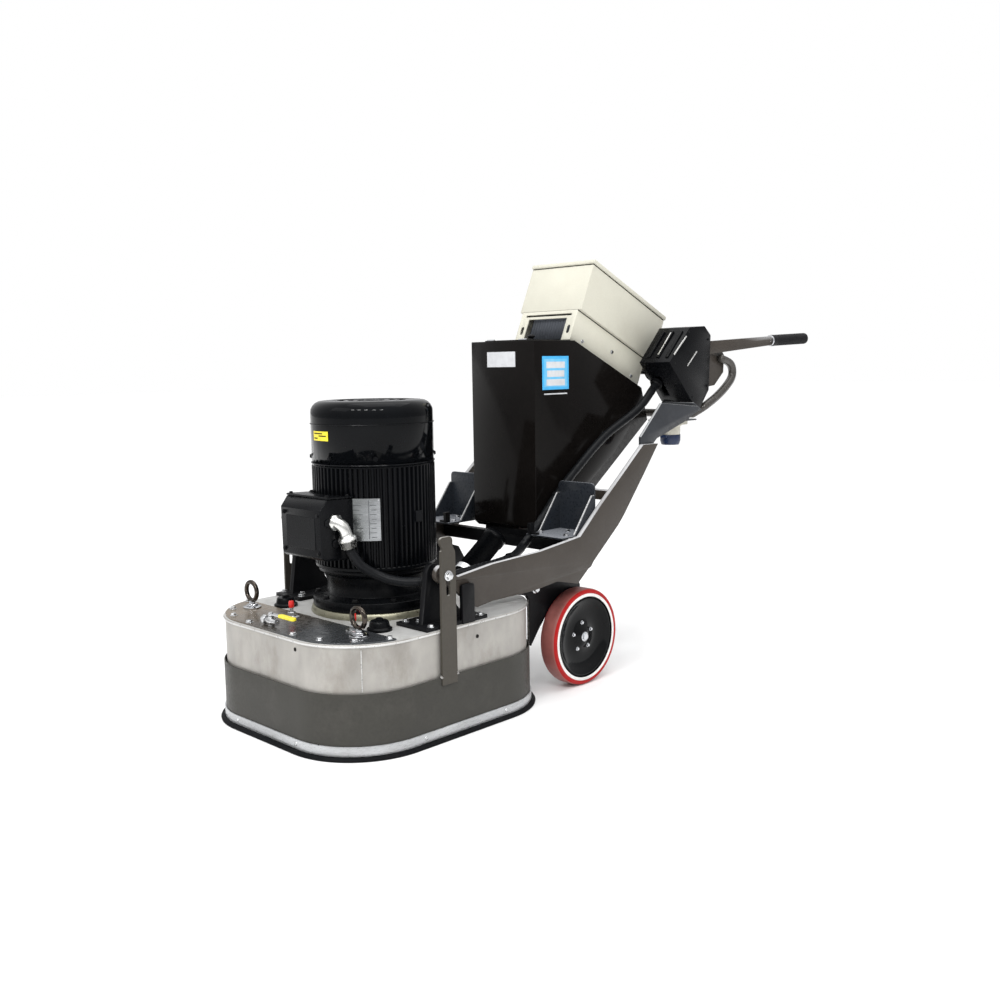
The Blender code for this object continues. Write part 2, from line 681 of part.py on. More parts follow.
def make_motor_conduit(head_axis, frame_axis):
    """The motor lead's conduit: one run on the head, one on the frame, meeting at the pivot."""
    root = BOX_OUT * 0.2120 + BOX_ACROSS * (BOX_HALF_WIDTH + GAP) + Vector((0, 0, 0.577))
    elbow_run = [root + BOX_ACROSS * 0.002] + smooth_run([root + BOX_ACROSS * 0.012, (0.1165, -0.2000, 0.5600),
                                                          CONDUIT_START], 4)
    elbow = tube(elbow_run, 0.0168, 3)
    hex_nut = rod(root, root + BOX_ACROSS * 0.009, 0.0235, 6)
    heading = (elbow_run[-1] - elbow_run[-2]).normalized()
    mouth = CONDUIT_START + heading * 0.002
    collar = rod(mouth - heading * 0.030, mouth, 0.0230, 20)
    ring = rod(mouth - heading * 0.026, mouth - heading * 0.018, 0.0250, 20)
    finish_part(join(elbow, hex_nut, collar, ring), "conduit_elbow", "zinc", head_axis, 50.0)
    start = mouth + heading * GAP
    lead = [start] + smooth_run([start + heading * 0.012, (0.1370, -0.1600, 0.4560),
                                 (0.1700, -0.1180, 0.4240), (0.2140, -0.0900, 0.4130),
                                 CONDUIT_JUNCTION - JUNCTION_DIRECTION * 0.012], 4)
    lead.append(CONDUIT_JUNCTION)
    finish_part(tube(lead, CONDUIT_RADIUS, 3), "motor_conduit", "black_rubber", head_axis, 60.0)
    onward = [CONDUIT_JUNCTION + JUNCTION_DIRECTION * (2 * GAP)]
    onward += smooth_run([CONDUIT_JUNCTION + JUNCTION_DIRECTION * 0.012, (0.2660, 0.0200, 0.4140),
                          (0.2400, 0.1800, 0.4120), (0.2080, 0.3400, 0.4150),
                          (0.1590, 0.4500, 0.4320), (0.1570, 0.5300, 0.4950),
                          (0.1570, 0.6100, 0.5700), (0.1570, 0.7100, 0.6480),
                          (0.1640, 0.8500, 0.7480), (0.2020, 0.9800, 0.8330),
                          BOX_UNDERSIDE - BOX_UNDERSIDE_NORMAL * 0.014], 3)
    onward.append(BOX_UNDERSIDE - BOX_UNDERSIDE_NORMAL * GAP)
    finish_part(tube(onward, CONDUIT_RADIUS, 2), "frame_conduit", "black_rubber", frame_axis, 60.0)


# ---------------------------------------------------------------- floating shroud

def make_strap(side):
    """The lifting strap, with its ear, its side notch and the slot for the pivot bolt."""
    half = STRAP_WIDTH / 2
    low = SHROUD_TOP - 0.020
    loop = [(STRAP_Y - half, low), (STRAP_Y + half, low), (STRAP_Y + half, 0.508)]
    loop += [(STRAP_Y + half - 0.009, 0.520)]
    loop += arc((STRAP_Y + half - 0.021, STRAP_TOP - 0.012), 0.012, 0.0, 90.0, 3)
    loop += arc((STRAP_Y - half + 0.012, STRAP_TOP - 0.012), 0.012, 90.0, 180.0, 3)
    loop += arc((STRAP_Y - half, 0.516), 0.008, 60.0, -60.0, 4)
    top = PIVOT_Z + 0.0005
    slot = arc((STRAP_Y, top), SLOT_WIDTH / 2, 0.0, 180.0, 6)
    slot += arc((STRAP_Y, SLOT_BOTTOM + SLOT_WIDTH / 2), SLOT_WIDTH / 2, 180.0, 360.0, 6)
    x0, x1 = span(side, STRAP_INNER_X, STRAP_INNER_X + STRAP_THICKNESS)
    return side_plate([loop, slot], x0, x1)


def make_shroud(axis):
    band = level_plate([head_outline(0.0), head_outline(-SHROUD_WALL)], SHROUD_BOTTOM, SHROUD_TOP)
    band = join(band, make_strap(1), make_strap(-1))
    finish_part(band, "shroud_band", "shroud_paint", axis)
    strip = level_plate([head_outline(GAP + STRIP_THICKNESS), head_outline(GAP)],
                        STRIP_BOTTOM, STRIP_TOP)
    finish_part(strip, "clamp_strip", "bright_strip", axis)
    skirt_top = STRIP_BOTTOM - GAP
    lip = level_plate([head_outline(SKIRT_FLARE), head_outline(0.002)], 0.0, skirt_top - 0.004)
    neck = level_plate([head_outline(0.008), head_outline(-0.006)], 0.003, skirt_top)
    finish_part(join(lip, neck), "rubber_skirt", "black_rubber", axis)


# ---------------------------------------------------------------- wheeled frame

def side_frame_outline():
    """(y, z) outline: a level arm from the pivot, rising into the tapered mast."""
    front = arc((PIVOT_Y, PIVOT_Z), 0.024, 90.0, 270.0, 8)
    under = [(-0.010, 0.396), (0.062, 0.336), (0.077, 0.332), (0.136, 0.339), (0.3066, 0.340),
             (0.407, 0.3506), (0.501, 0.3286)]
    rear = [(0.551, 0.367), (0.564, 0.372), (0.578, 0.388), (0.698, 0.484), (0.7275, 0.513),
            (0.841, 0.6455), (0.908, 0.727)]
    top = [(0.828, 0.728), (0.612, 0.5555), (0.514, 0.471), (0.333, 0.4505), (0.139, 0.443),
           (0.005, 0.4275), (-0.022, 0.446)]
    return front + under + rear + top


def make_side_frame(side, axis):
    hole = circle((PIVOT_Y, PIVOT_Z), PIVOT_PIN_RADIUS + 0.0005, 16)
    x0, x1 = span(side, FRAME_OUTER_X - FRAME_THICKNESS, FRAME_OUTER_X)
    frame = side_plate([side_frame_outline(), hole], x0, x1)
    x0, x1 = span(side, TANK_HALF_WIDTH + GAP, FRAME_OUTER_X - FRAME_THICKNESS + 0.004)
    tank_arm = block((x0, 0.690, 0.560), (x1, 0.720, 0.590))
    tank_pad = block(*pad_corners(side))
    name = "side_frame_" + side_name(side)
    return finish_part(join(frame, tank_arm, tank_pad), name, "frame_paint", axis)


def pad_corners(side):
    """The plate that bolts the tank's side to the frame's arm."""
    x0, x1 = span(side, TANK_HALF_WIDTH + GAP, TANK_HALF_WIDTH + 0.005)
    return (x0, 0.670, 0.540), (x1, 0.740, 0.600)


def make_crossmember(axis):
    reach = FRAME_OUTER_X - FRAME_THICKNESS - GAP
    tube_low = block((-reach, 0.560, 0.400), (reach, 0.600, 0.440), 0.003)
    cradle = block((-0.110, 0.556, 0.438), (0.110, 0.625, 0.4600 - GAP))
    return finish_part(join(tube_low, cradle), "frame_crossmember", "black_satin", axis)


def make_wheel_hanger(side, axis):
    """The black plate that carries the wheel, with its forward leg and its stub axle."""
    hub = (WHEEL_Y, WHEEL_RADIUS)
    loop = [(0.150, 0.342), (0.286, 0.324), (0.358, 0.306), (0.3705, 0.288), (0.3705, 0.152),
            (0.3745, 0.1475), (0.4145, 0.198), (0.450, 0.236), (0.500, 0.250)]
    loop += arc(hub, 0.042, 190.0, 350.0, 8)
    loop += [(0.604, 0.300), (0.560, 0.372), (0.500, 0.392), (0.400, 0.392), (0.160, 0.386)]
    x0, x1 = span(side, 0.247, 0.259)
    leg = side_plate([loop], x0, x1)
    x0, x1 = span(side, 0.255, FRAME_OUTER_X - FRAME_THICKNESS - GAP)
    spacer = block((x0, 0.340, 0.352), (x1, 0.480, 0.388))
    stub = rod((side * 0.250, WHEEL_Y, WHEEL_RADIUS), (side * 0.3085, WHEEL_Y, WHEEL_RADIUS), 0.0125, 20)
    name = "wheel_hanger_" + side_name(side)
    return finish_part(join(leg, spacer, stub), name, "black_satin", axis)


def make_wheel(side, axis):
    outer = side * WHEEL_OUTER_X
    inner = side * (WHEEL_OUTER_X - WHEEL_WIDTH)
    base = crosswise(WHEEL_Y, WHEEL_RADIUS)
    low, high = sorted((outer, inner))
    tread = [(RIM_RADIUS, high), (WHEEL_RADIUS - 0.012, high), (WHEEL_RADIUS - 0.003, high - 0.004),
             (WHEEL_RADIUS, high - 0.012), (WHEEL_RADIUS, low + 0.012),
             (WHEEL_RADIUS - 0.003, low + 0.004), (WHEEL_RADIUS - 0.012, low), (RIM_RADIUS, low)]
    tyre = turned(tread, 36, base, closed=True)
    finish_part(tyre, "tyre_" + side_name(side), "red_rubber", axis, 40.0)
    rim = RIM_RADIUS - GAP
    dish = [(0.0, 0.0525), (0.026, 0.0515), (0.034, 0.043), (0.070, 0.040), (0.104, 0.046),
            (0.116, 0.0575), (rim, 0.0575), (rim, 0.004), (0.114, 0.004), (0.100, 0.026),
            (0.040, 0.022), (0.030, 0.004), (0.0132, 0.004), (0.0132, 0.046), (0.0, 0.046)]
    if side > 0:
        hub = turned([(r, WHEEL_OUTER_X - WHEEL_WIDTH + h) for r, h in dish], 36, base)
    else:
        hub = turned([(r, WHEEL_OUTER_X - WHEEL_WIDTH + h) for r, h in dish], 36,
                     crosswise(WHEEL_Y, WHEEL_RADIUS, -1))
    finish_part(hub, "wheel_hub_" + side_name(side), "black_gloss", axis, 30.0)


def make_weight_bracket(side, axis):
    """An open shelf for a ballast weight: floor, back plate and two gussets."""
    outer = FRAME_OUTER_X - FRAME_THICKNESS - 0.0006
    inner = outer - 0.146
    floor_z = 0.4720
    back_y = 0.606
    x0, x1 = span(side, inner, outer)
    floor = block((x0, 0.448, floor_z - 0.005), (x1, back_y, floor_z))
    low_x, high_x = sorted((side * inner, side * outer))
    corner = 0.014
    back_loop = [(low_x, floor_z - 0.005), (high_x, floor_z - 0.005)]
    back_loop += arc((high_x - corner, 0.623 - corner), corner, 0.0, 90.0, 3)
    back_loop += arc((low_x + corner, 0.623 - corner), corner, 90.0, 180.0, 3)
    back = front_plate([back_loop], back_y - 0.006, back_y)
    gusset_loop = [(0.506, floor_z - 0.002), (back_y - 0.003, floor_z - 0.002), (back_y - 0.003, 0.585),
                   (0.590, 0.585)]
    g0 = side_plate([gusset_loop], *span(side, outer - 0.006, outer))
    g1 = side_plate([gusset_loop], *span(side, inner, inner + 0.006))
    name = "weight_bracket_" + side_name(side)
    return finish_part(join(floor, back, g0, g1), name, "grey_sheet", axis)


def tank_outline(inset):
    """(y, z) outline of the tank: upright front, flat top, then the slope under the channel."""
    tangent = math.tan(CABINET_TILT)
    knee_y = CHANNEL_FRONT[0] + (CHANNEL_FRONT[1] - GAP / math.cos(CABINET_TILT) - TANK_TOP) / tangent
    rear_y = 1.086
    rear_z = TANK_TOP - (rear_y - knee_y) * tangent
    outer = [(TANK_FRONT_Y, 0.475), (0.552, 0.460), (0.664, 0.460), (1.120, 0.790),
             (rear_y, rear_z), (knee_y, TANK_TOP), (TANK_FRONT_Y, TANK_TOP)]
    return outer if inset == 0.0 else inset_loop(outer, inset)


LID_HINGE_Y = TANK_FRONT_Y + 0.022
LID_REAR_Y = 0.700


def make_tank(frame_axis, lid_axis):
    outer = side_plate([tank_outline(0.0)], -TANK_HALF_WIDTH, TANK_HALF_WIDTH)
    inner = side_plate([tank_outline(TANK_WALL)], -TANK_HALF_WIDTH + TANK_WALL, TANK_HALF_WIDTH - TANK_WALL)
    mouth = block((-0.085, 0.572, TANK_TOP - 0.03), (0.085, 0.684, TANK_TOP + 0.03))
    finish_part(cut(outer, join(inner, mouth)), "water_tank", "black_gloss", frame_axis)
    lid = block((-0.098, LID_HINGE_Y, TANK_TOP + GAP), (0.098, LID_REAR_Y, TANK_TOP + 0.0035))
    plug = block((-0.082, 0.575, TANK_TOP - 0.006), (0.082, 0.681, TANK_TOP + 0.002))
    finish_part(join(lid, plug), "tank_lid", "black_gloss", lid_axis)


# ---------------------------------------------------------------- drive cabinet

def tilt_matrix(origin):
    """Local X across, local Y down the slope, local Z out of the slope."""
    y_axis = (0.0, math.cos(CABINET_TILT), -math.sin(CABINET_TILT))
    return place_matrix((0.0, *origin), (1, 0, 0), y_axis)


def make_channel(axis):
    frame = tilt_matrix(CHANNEL_FRONT)
    half = CHANNEL_HALF_WIDTH
    wall = 0.004
    shell = block((-half, 0.0, 0.0), (half, CHANNEL_LENGTH, CHANNEL_HEIGHT), matrix=frame)
    hollow = block((-half + wall, wall, -0.02), (half - wall, CHANNEL_LENGTH + 0.02,
                                                 CHANNEL_HEIGHT - wall), matrix=frame)
    window = block((-0.084, -0.02, -0.02), (0.084, 0.02, 0.078), matrix=frame)
    slit = block((-0.100, -0.02, 0.087), (0.100, 0.02, 0.094), matrix=frame)
    cuts = [hollow, window, slit]
    for side in (-1, 1):
        loop = arc((side * 0.102, 0.046), 0.0065, 0.0, 180.0, 5)
        loop += arc((side * 0.102, 0.030), 0.0065, 180.0, 360.0, 5)
        stand = frame @ place_matrix((0, 0, 0), (1, 0, 0), (0, 0, 1))
        cuts.append(plate([loop], 0.04, stand))
    return finish_part(cut(shell, *cuts), "cabinet_channel", "cream_paint", axis)


def make_heat_sink(axis):
    """A finned block that hangs from the cabinet's floor, inside the channel."""
    frame = tilt_matrix(CHANNEL_FRONT)
    half = 0.080
    top = CHANNEL_HEIGHT - 0.004 - GAP
    low = 0.016
    fins = 14
    pitch = 2 * half / fins
    loop = [(half, top), (-half, top)]
    for i in range(fins):
        left = -half + i * pitch
        loop += [(left, low), (left + 0.45 * pitch, low)]
        if i < fins - 1:
            loop += [(left + 0.45 * pitch, top - 0.018), (left + pitch, top - 0.018)]
    loop += [(-half + (fins - 1) * pitch + 0.45 * pitch, top - 0.018), (half, top - 0.018)]
    stand = frame @ place_matrix((0, 0.165, 0), (1, 0, 0), (0, 0, 1))
    return finish_part(plate([loop], 0.290, stand), "heat_sink", "grey_sheet", axis)


def cabinet_matrix():
    lift = CHANNEL_HEIGHT + GAP
    origin = (CHANNEL_FRONT[0] + lift * math.sin(CABINET_TILT),
              CHANNEL_FRONT[1] + lift * math.cos(CABINET_TILT))
    return tilt_matrix(origin)


def make_cabinet(frame_axis, lid_axis):
    frame = cabinet_matrix()
    half = CABINET_HALF_WIDTH
    wall = 0.003
    shell = block((-half, 0.0, 0.0), (half, CABINET_LENGTH, CABINET_HEIGHT), 0.002, frame)
    hollow = block((-half + wall, wall, wall), (half - wall, CABINET_LENGTH - wall,
                                                CABINET_HEIGHT + 0.05), matrix=frame)
    finish_part(cut(shell, hollow), "drive_cabinet", "cream_paint", frame_axis)
    over = LID_OVERHANG
    low = CABINET_HEIGHT + 0.003
    cover = block((-half - over, -over, low), (half + over, CABINET_LENGTH + over, low + LID_THICKNESS),
                  0.003, frame)
    return finish_part(cover, "cabinet_lid", "cream_paint", lid_axis)


# ---------------------------------------------------------------- control box and handle

def control_box_outline():
    return [(1.012, 0.988), (1.142, 0.852), (1.190, 0.826), (1.2450, 0.890), (1.2540, 1.079),
            (1.217, 1.109), (1.126, 1.104)]


PANEL_Z = 1.109


def make_control_box(frame_axis, stop_axis, start_axis):
    shell = side_plate([control_box_outline()], BOX_INNER_X, BOX_OUTER_X)
    inner = [(1.022, 0.984), (1.144, 0.860), (1.188, 0.838), (1.239, 0.894), (1.248, 1.076),
             (1.214, 1.103), (1.128, 1.098)]
    cavity = side_plate([inner], BOX_INNER_X + 0.004, BOX_OUTER_X - 0.004)
    vent = block((BOX_INNER_X + 0.03, 1.06, 0.80), (BOX_INNER_X + 0.05, 1.12, 0.96))
    shell = cut(shell, join(cavity, vent))
    well_matrix = place_matrix((0.246, 1.2395, 1.0908), (1, 0, 0), (0.0, 0.777, -0.630))
    stop_hole = rod(well_matrix @ Vector((-0.028, 0, -0.02)), well_matrix @ Vector((-0.028, 0, 0.02)), 0.0085, 20)
    start_hole = rod(well_matrix @ Vector((0.030, 0, -0.02)), well_matrix @ Vector((0.030, 0, 0.02)), 0.0085, 20)
    shell = cut(shell, stop_hole, start_hole)
    finish_part(shell, "control_box", "black_satin", frame_axis)
    stop = turned([(0.0, 0.0155), (0.0125, 0.0145), (0.0165, 0.0115), (0.0165, 0.0090), (0.0125, 0.0065),
                   (0.008, 0.006), (0.008, -0.010), (0.0, -0.010)], 24,
                  well_matrix @ Matrix.Translation((-0.028, 0, 0)))
    finish_part(stop, "emergency_stop", "red_plastic", stop_axis)
    start = turned([(0.0, 0.0095), (0.0075, 0.009), (0.008, 0.007), (0.008, -0.010), (0.0, -0.010)],
                   20, well_matrix @ Matrix.Translation((0.030, 0, 0)))
    finish_part(start, "start_button", "green_plastic", start_axis)


INLET_X = 0.250
INLET_Y = 1.100


def make_neck(side, axis):
    """The grey plate that carries the control box and the handle on top of each mast."""
    inner_x = FRAME_OUTER_X - FRAME_THICKNESS - GAP
    loop = [(0.838, 0.700), (0.870, 0.700), (0.925, 0.742), (1.079, 0.788), (1.165, 0.822)]
    if side > 0:
        loop += [(1.162, 0.8370), (0.950, 0.856), (0.838, 0.751)]
    else:
        loop += [(1.330, 0.900), (1.330, 0.985), (1.240, 0.985), (0.950, 0.856), (0.838, 0.751)]
    web = side_plate([loop], *span(side, inner_x - 0.010, inner_x))
    pieces = [web]
    if side > 0:
        pieces.append(block((0.200, 1.040, 0.790), (inner_x - 0.005, 1.160, 0.795)))
        shelf = [(1.1396, 0.8459), (1.1866, 0.8204), (1.1895, 0.8257), (1.1425, 0.8512)]
        pieces.append(side_plate([shelf], BOX_INNER_X, inner_x - 0.005))
    name = "neck_plate_" + side_name(side)
    return finish_part(join(*pieces), name, "grey_sheet", axis)


def make_power_inlet(frame_axis, cap_axis):
    """A round plug inlet that faces down, with a hinged cap."""
    top = 0.790 - GAP
    profile = [(0.0, top), (0.042, top), (0.042, top - 0.014), (0.034, top - 0.020),
               (0.0335, 0.7425), (0.026, 0.7425), (0.026, 0.765), (0.0, 0.765)]
    inlet = turned(profile, 28, upright(INLET_X, INLET_Y))
    finish_part(inlet, "power_inlet", "grey_sheet", frame_axis)
    cap_top = 0.7425 - GAP
    profile = [(0.0, cap_top), (0.0345, cap_top), (0.0345, 0.722), (0.030, 0.708), (0.0, 0.706)]
    cap = turned(profile, 28, upright(INLET_X, INLET_Y))
    ear = block((INLET_X - 0.012, INLET_Y - 0.042, 0.733), (INLET_X + 0.012, INLET_Y - 0.028, cap_top))
    finish_part(join(cap, ear), "inlet_cap", "blue_plastic", cap_axis)


ARM_ROOT = (0.285, 1.262, 1.036)
ARM_BEND = (0.337, 1.594, 1.0605)
ARM_END = (0.3755, 1.788, 1.0690)


def tapered_arm(side):
    """One sheet-steel arm, lofted between a tall root section and a smaller end section."""
    root = Vector((side * ARM_ROOT[0], *ARM_ROOT[1:]))
    end = Vector((side * ARM_BEND[0], *ARM_BEND[1:]))
    work = bmesh.new()
    rings = []
    for centre, half_x, half_z in ((root, 0.013, 0.0225), (end, 0.013, 0.0160)):
        ring = []
        for sx, sz in ((-1, -1), (1, -1), (1, 1), (-1, 1)):
            ring.append(work.verts.new(centre + Vector((sx * half_x, 0.0, sz * half_z))))
        rings.append(ring)
    for i in range(4):
        j = (i + 1) % 4
        work.faces.new((rings[0][i], rings[0][j], rings[1][j], rings[1][i]))
    work.faces.new(rings[0][::-1])
    work.faces.new(rings[1])
    bmesh.ops.recalc_face_normals(work, faces=work.faces)
    mesh = bpy.data.meshes.new("arm")
    work.to_mesh(mesh)
    work.free()
    arm = bpy.data.objects.new("arm", mesh)
    PARTS.objects.link(arm)
    return arm


def make_handle(axis):
    pieces = []
    for side in (1, -1):
        pieces.append(tapered_arm(side))
        bend = Vector((side * ARM_BEND[0], *ARM_BEND[1:]))
        end = Vector((side * ARM_END[0], *ARM_END[1:]))
        direction = (end - bend).normalized()
        pieces.append(rod(bend - direction * 0.020, end - direction * 0.010, 0.0125, 16))
        root_loop = [(1.2546, 0.900), (1.310, 0.905), (1.366, 0.950), (1.370, 1.010), (1.330, 1.052),
                     (1.2546, 1.058)]
        pieces.append(side_plate([root_loop], *span(side, 0.281, 0.289)))
    pieces.append(block((-0.3114, 1.295, 0.945), (0.285, 1.325, 0.975)))
    return finish_part(join(*pieces), "handle_frame", "frame_paint", axis)


def make_grip(side, axis):
    bend = Vector((side * ARM_BEND[0], *ARM_BEND[1:]))
    end = Vector((side * ARM_END[0], *ARM_END[1:]))
    direction = (end - bend).normalized()
    start = bend + direction * 0.012
    turn = direction.to_track_quat("Z", "Y").to_matrix().to_4x4()
    length = (end - start).length
    bore = 0.0125 + GAP
    profile = [(0.0, length), (0.016, length), (GRIP_RADIUS, length - 0.006), (GRIP_RADIUS, 0.0),
               (bore, 0.0), (bore, length - 0.009), (0.0, length - 0.009)]
    grip = turned(profile, 20, Matrix.Translation(start) @ turn)
    return finish_part(grip, "grip_" + side_name(side), "black_rubber", axis, 40.0)


def make_handle_guard(axis):
    """One bent tube: a loop beside each arm's root, and the bar that joins the two."""
    half = [(0.3038, 1.322, 1.0000), (0.3038, 1.382, 0.9820), (0.3038, 1.402, 0.9540),
            (0.3038, 1.388, 0.9200), (0.3038, 1.318, 0.8740), (0.2980, 1.240, 0.8360),
            (0.2620, 1.216, 0.8080)]
    left = smooth_run(half, 4)
    right = [Vector((-p.x, p.y, p.z)) for p in reversed(left)]
    return finish_part(tube(left + right, TUBE_RADIUS, 2), "handle_guard", "frame_paint", axis, 50.0)


# ---------------------------------------------------------------- whole machine

def main():
    root = add_axis("machine", (0.0, MOTOR_AXIS_Y, 0.0))
    pivot = add_axis("frame_pivot_axis", (0.0, PIVOT_Y, PIVOT_Z), root)
    shroud = add_axis("shroud_float_axis", (0.0, 0.0, 0.0), root)
    rotor = add_axis("rotor_axis", (0.0, 0.0, 0.60), root)
    carrier = add_axis("carrier_axis", (0.0, 0.0, 0.10), root)
    lever = add_axis("valve_axis", (VALVE_X, VALVE_Y, 0.33), root)
    tank_lid = add_axis("tank_lid_axis", (0.0, LID_HINGE_Y, TANK_TOP + 0.004), root)
    lid_low = cabinet_matrix() @ Vector((-CABINET_HALF_WIDTH - LID_OVERHANG, 0.0, CABINET_HEIGHT + 0.003))
    cabinet_lid = add_axis("cabinet_lid_axis", lid_low, root)
    cap = add_axis("inlet_cap_axis", (INLET_X, INLET_Y - 0.038, 0.7425), root)
    stop = add_axis("emergency_stop_axis", (0.218, 1.2395, 1.0908), root)
    start = add_axis("start_button_axis", (0.276, 1.2395, 1.0908), root)

    make_deck_housing(root)
    make_front_cover(root)
    make_gearbox(root)
    make_adaptor_ring(root)
    make_motor_adaptor(root)
    make_motor_body(root)
    make_fan_cowl(root)
    make_motor_shaft(rotor)
    make_cooling_fan(rotor)
    disc_axes = []
    for number in range(DISC_COUNT):
        angle = math.radians(90.0 + 360.0 * number / DISC_COUNT)
        place = (DISC_ORBIT * math.cos(angle), DISC_ORBIT * math.sin(angle), 0.0)
        disc_axes.append(add_axis("disc_axis_%d" % (number + 1), place, root))
    make_drum(carrier, disc_axes)

    make_water_valve(root, lever)
    make_dust_pipe(root)
    make_conduit_box(root)
    make_motor_conduit(root, pivot)
    make_shroud(shroud)
    make_crossmember(pivot)
    make_tank(pivot, tank_lid)
    make_channel(pivot)
    make_heat_sink(pivot)
    make_cabinet(pivot, cabinet_lid)
    make_control_box(pivot, stop, start)
    make_power_inlet(pivot, cap)
    make_handle(pivot)
    make_handle_guard(pivot)
    for side in (1, -1):
        make_eye_bolt(side, root)
        make_grease_fitting(side, root)
        make_pivot_bracket(side, root)
        make_pivot_bolt(side, root)
        make_side_frame(side, pivot)
        make_wheel_hanger(side, pivot)
        make_weight_bracket(side, pivot)
        make_neck(side, pivot)
        make_grip(side, pivot)
        wheel = add_axis("wheel_axis_" + side_name(side), (0.0, WHEEL_Y, WHEEL_RADIUS), root)
        make_wheel(side, wheel)


clear_scene()
PARTS = new_collection("concrete_grinder")
main()
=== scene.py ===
"""Looks of the concrete grinder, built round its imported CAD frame."""

import math

import bmesh
import bpy
from mathutils import Matrix, Vector


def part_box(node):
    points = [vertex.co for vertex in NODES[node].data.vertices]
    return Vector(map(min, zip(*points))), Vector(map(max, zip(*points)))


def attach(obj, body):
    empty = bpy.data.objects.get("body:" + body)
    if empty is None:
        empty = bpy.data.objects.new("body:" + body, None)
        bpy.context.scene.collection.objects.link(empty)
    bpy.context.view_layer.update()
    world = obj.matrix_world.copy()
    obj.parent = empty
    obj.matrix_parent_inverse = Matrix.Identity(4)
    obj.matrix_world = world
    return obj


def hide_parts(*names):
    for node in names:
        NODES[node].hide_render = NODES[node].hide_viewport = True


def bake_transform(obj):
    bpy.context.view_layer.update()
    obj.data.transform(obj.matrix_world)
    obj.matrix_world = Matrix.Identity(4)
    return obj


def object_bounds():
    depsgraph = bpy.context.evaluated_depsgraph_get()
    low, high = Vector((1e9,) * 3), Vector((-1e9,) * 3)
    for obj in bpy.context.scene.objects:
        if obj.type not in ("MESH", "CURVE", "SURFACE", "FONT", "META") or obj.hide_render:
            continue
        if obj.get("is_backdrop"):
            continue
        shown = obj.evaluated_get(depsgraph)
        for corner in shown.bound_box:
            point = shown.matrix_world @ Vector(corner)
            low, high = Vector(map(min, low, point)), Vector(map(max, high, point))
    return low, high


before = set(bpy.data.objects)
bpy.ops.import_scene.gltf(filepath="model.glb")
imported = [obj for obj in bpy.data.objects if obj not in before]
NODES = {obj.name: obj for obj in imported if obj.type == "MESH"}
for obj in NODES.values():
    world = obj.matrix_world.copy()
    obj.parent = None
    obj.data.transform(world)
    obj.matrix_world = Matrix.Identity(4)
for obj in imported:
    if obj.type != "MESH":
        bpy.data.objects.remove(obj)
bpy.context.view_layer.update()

motor_low, motor_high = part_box("motor_body")
AXIS_Y = (motor_low.y + motor_high.y) / 2      # the motor's axis, from which positions are counted

DECK_TOP = 0.299
COVER_TOP = 0.3033
PIVOT = (-0.0515, 0.4425)                      # the frame's pivot, as (y, z)
TILT = math.radians(24.2)                      # the slope of the cabinet and its channel
GAP = 0.0003
FITTING_BASE = COVER_TOP + GAP
BRACKET_TOP = 0.3093
SHELF_TOP = 0.472
HOUSING_INSET = -0.0085
SIDES = ((1, "left"), (-1, "right"))
HEAD_HALF_X, HEAD_HALF_Y, HEAD_CORNER = 0.356, 0.391, 0.212
WHEEL_OUTER, WHEEL_WIDTH = 0.3234, 0.06
CHANNEL_ORIGIN, CHANNEL_HEIGHT = (0.722, 1.066), 0.1059
CABINET_ORIGIN = (CHANNEL_ORIGIN[0] + CHANNEL_HEIGHT * math.sin(TILT),
                  CHANNEL_ORIGIN[1] + CHANNEL_HEIGHT * math.cos(TILT))


def at(x, y, z):
    """A point given from the motor's axis, in the frame's coordinates."""
    return Vector((x, y + AXIS_Y, z))


def stand_at(x, y, z):
    """An upright matrix whose origin is given from the motor's axis."""
    return Matrix.Translation(at(x, y, z))


def outward_at(degrees):
    """The level direction at an angle round the motor."""
    return Vector((math.cos(math.radians(degrees)), math.sin(math.radians(degrees)), 0.0))


# ---------------------------------------------------------------- materials

def node(tree, kind, place, **settings):
    made = tree.nodes.new(kind)
    made.location = place
    for key, value in settings.items():
        setattr(made, key, value)
    return made


def shade_of(colour, factor):
    return tuple(min(1.0, c * factor) for c in colour[:3]) + (1.0,)


def mix_colour(tree, place, factor, first, second):
    """Mix two colours; each is a socket or a colour."""
    mix = node(tree, "ShaderNodeMix", place, data_type="RGBA")
    for socket, value in ((mix.inputs[0], factor), (mix.inputs[6], first), (mix.inputs[7], second)):
        if isinstance(value, bpy.types.NodeSocket):
            tree.links.new(value, socket)
        else:
            socket.default_value = value
    return mix.outputs[2]


def ramp(tree, place, source, low, high):
    made = node(tree, "ShaderNodeMapRange", place)
    made.inputs[1].default_value = low
    made.inputs[2].default_value = high
    tree.links.new(source, made.inputs[0])
    return made.outputs[0]


def noise(tree, place, source, scale, detail, roughness=0.5):
    made = node(tree, "ShaderNodeTexNoise", place)
    for socket, value in (("Scale", scale), ("Detail", detail), ("Roughness", roughness)):
        made.inputs[socket].default_value = value
    tree.links.new(source, made.inputs["Vector"])
    return made.outputs["Fac"]


def part_of(tree, place, source, axis):
    """One of a vector's three values."""
    apart = node(tree, "ShaderNodeSeparateXYZ", place)
    tree.links.new(source, apart.inputs[0])
    return apart.outputs[axis]


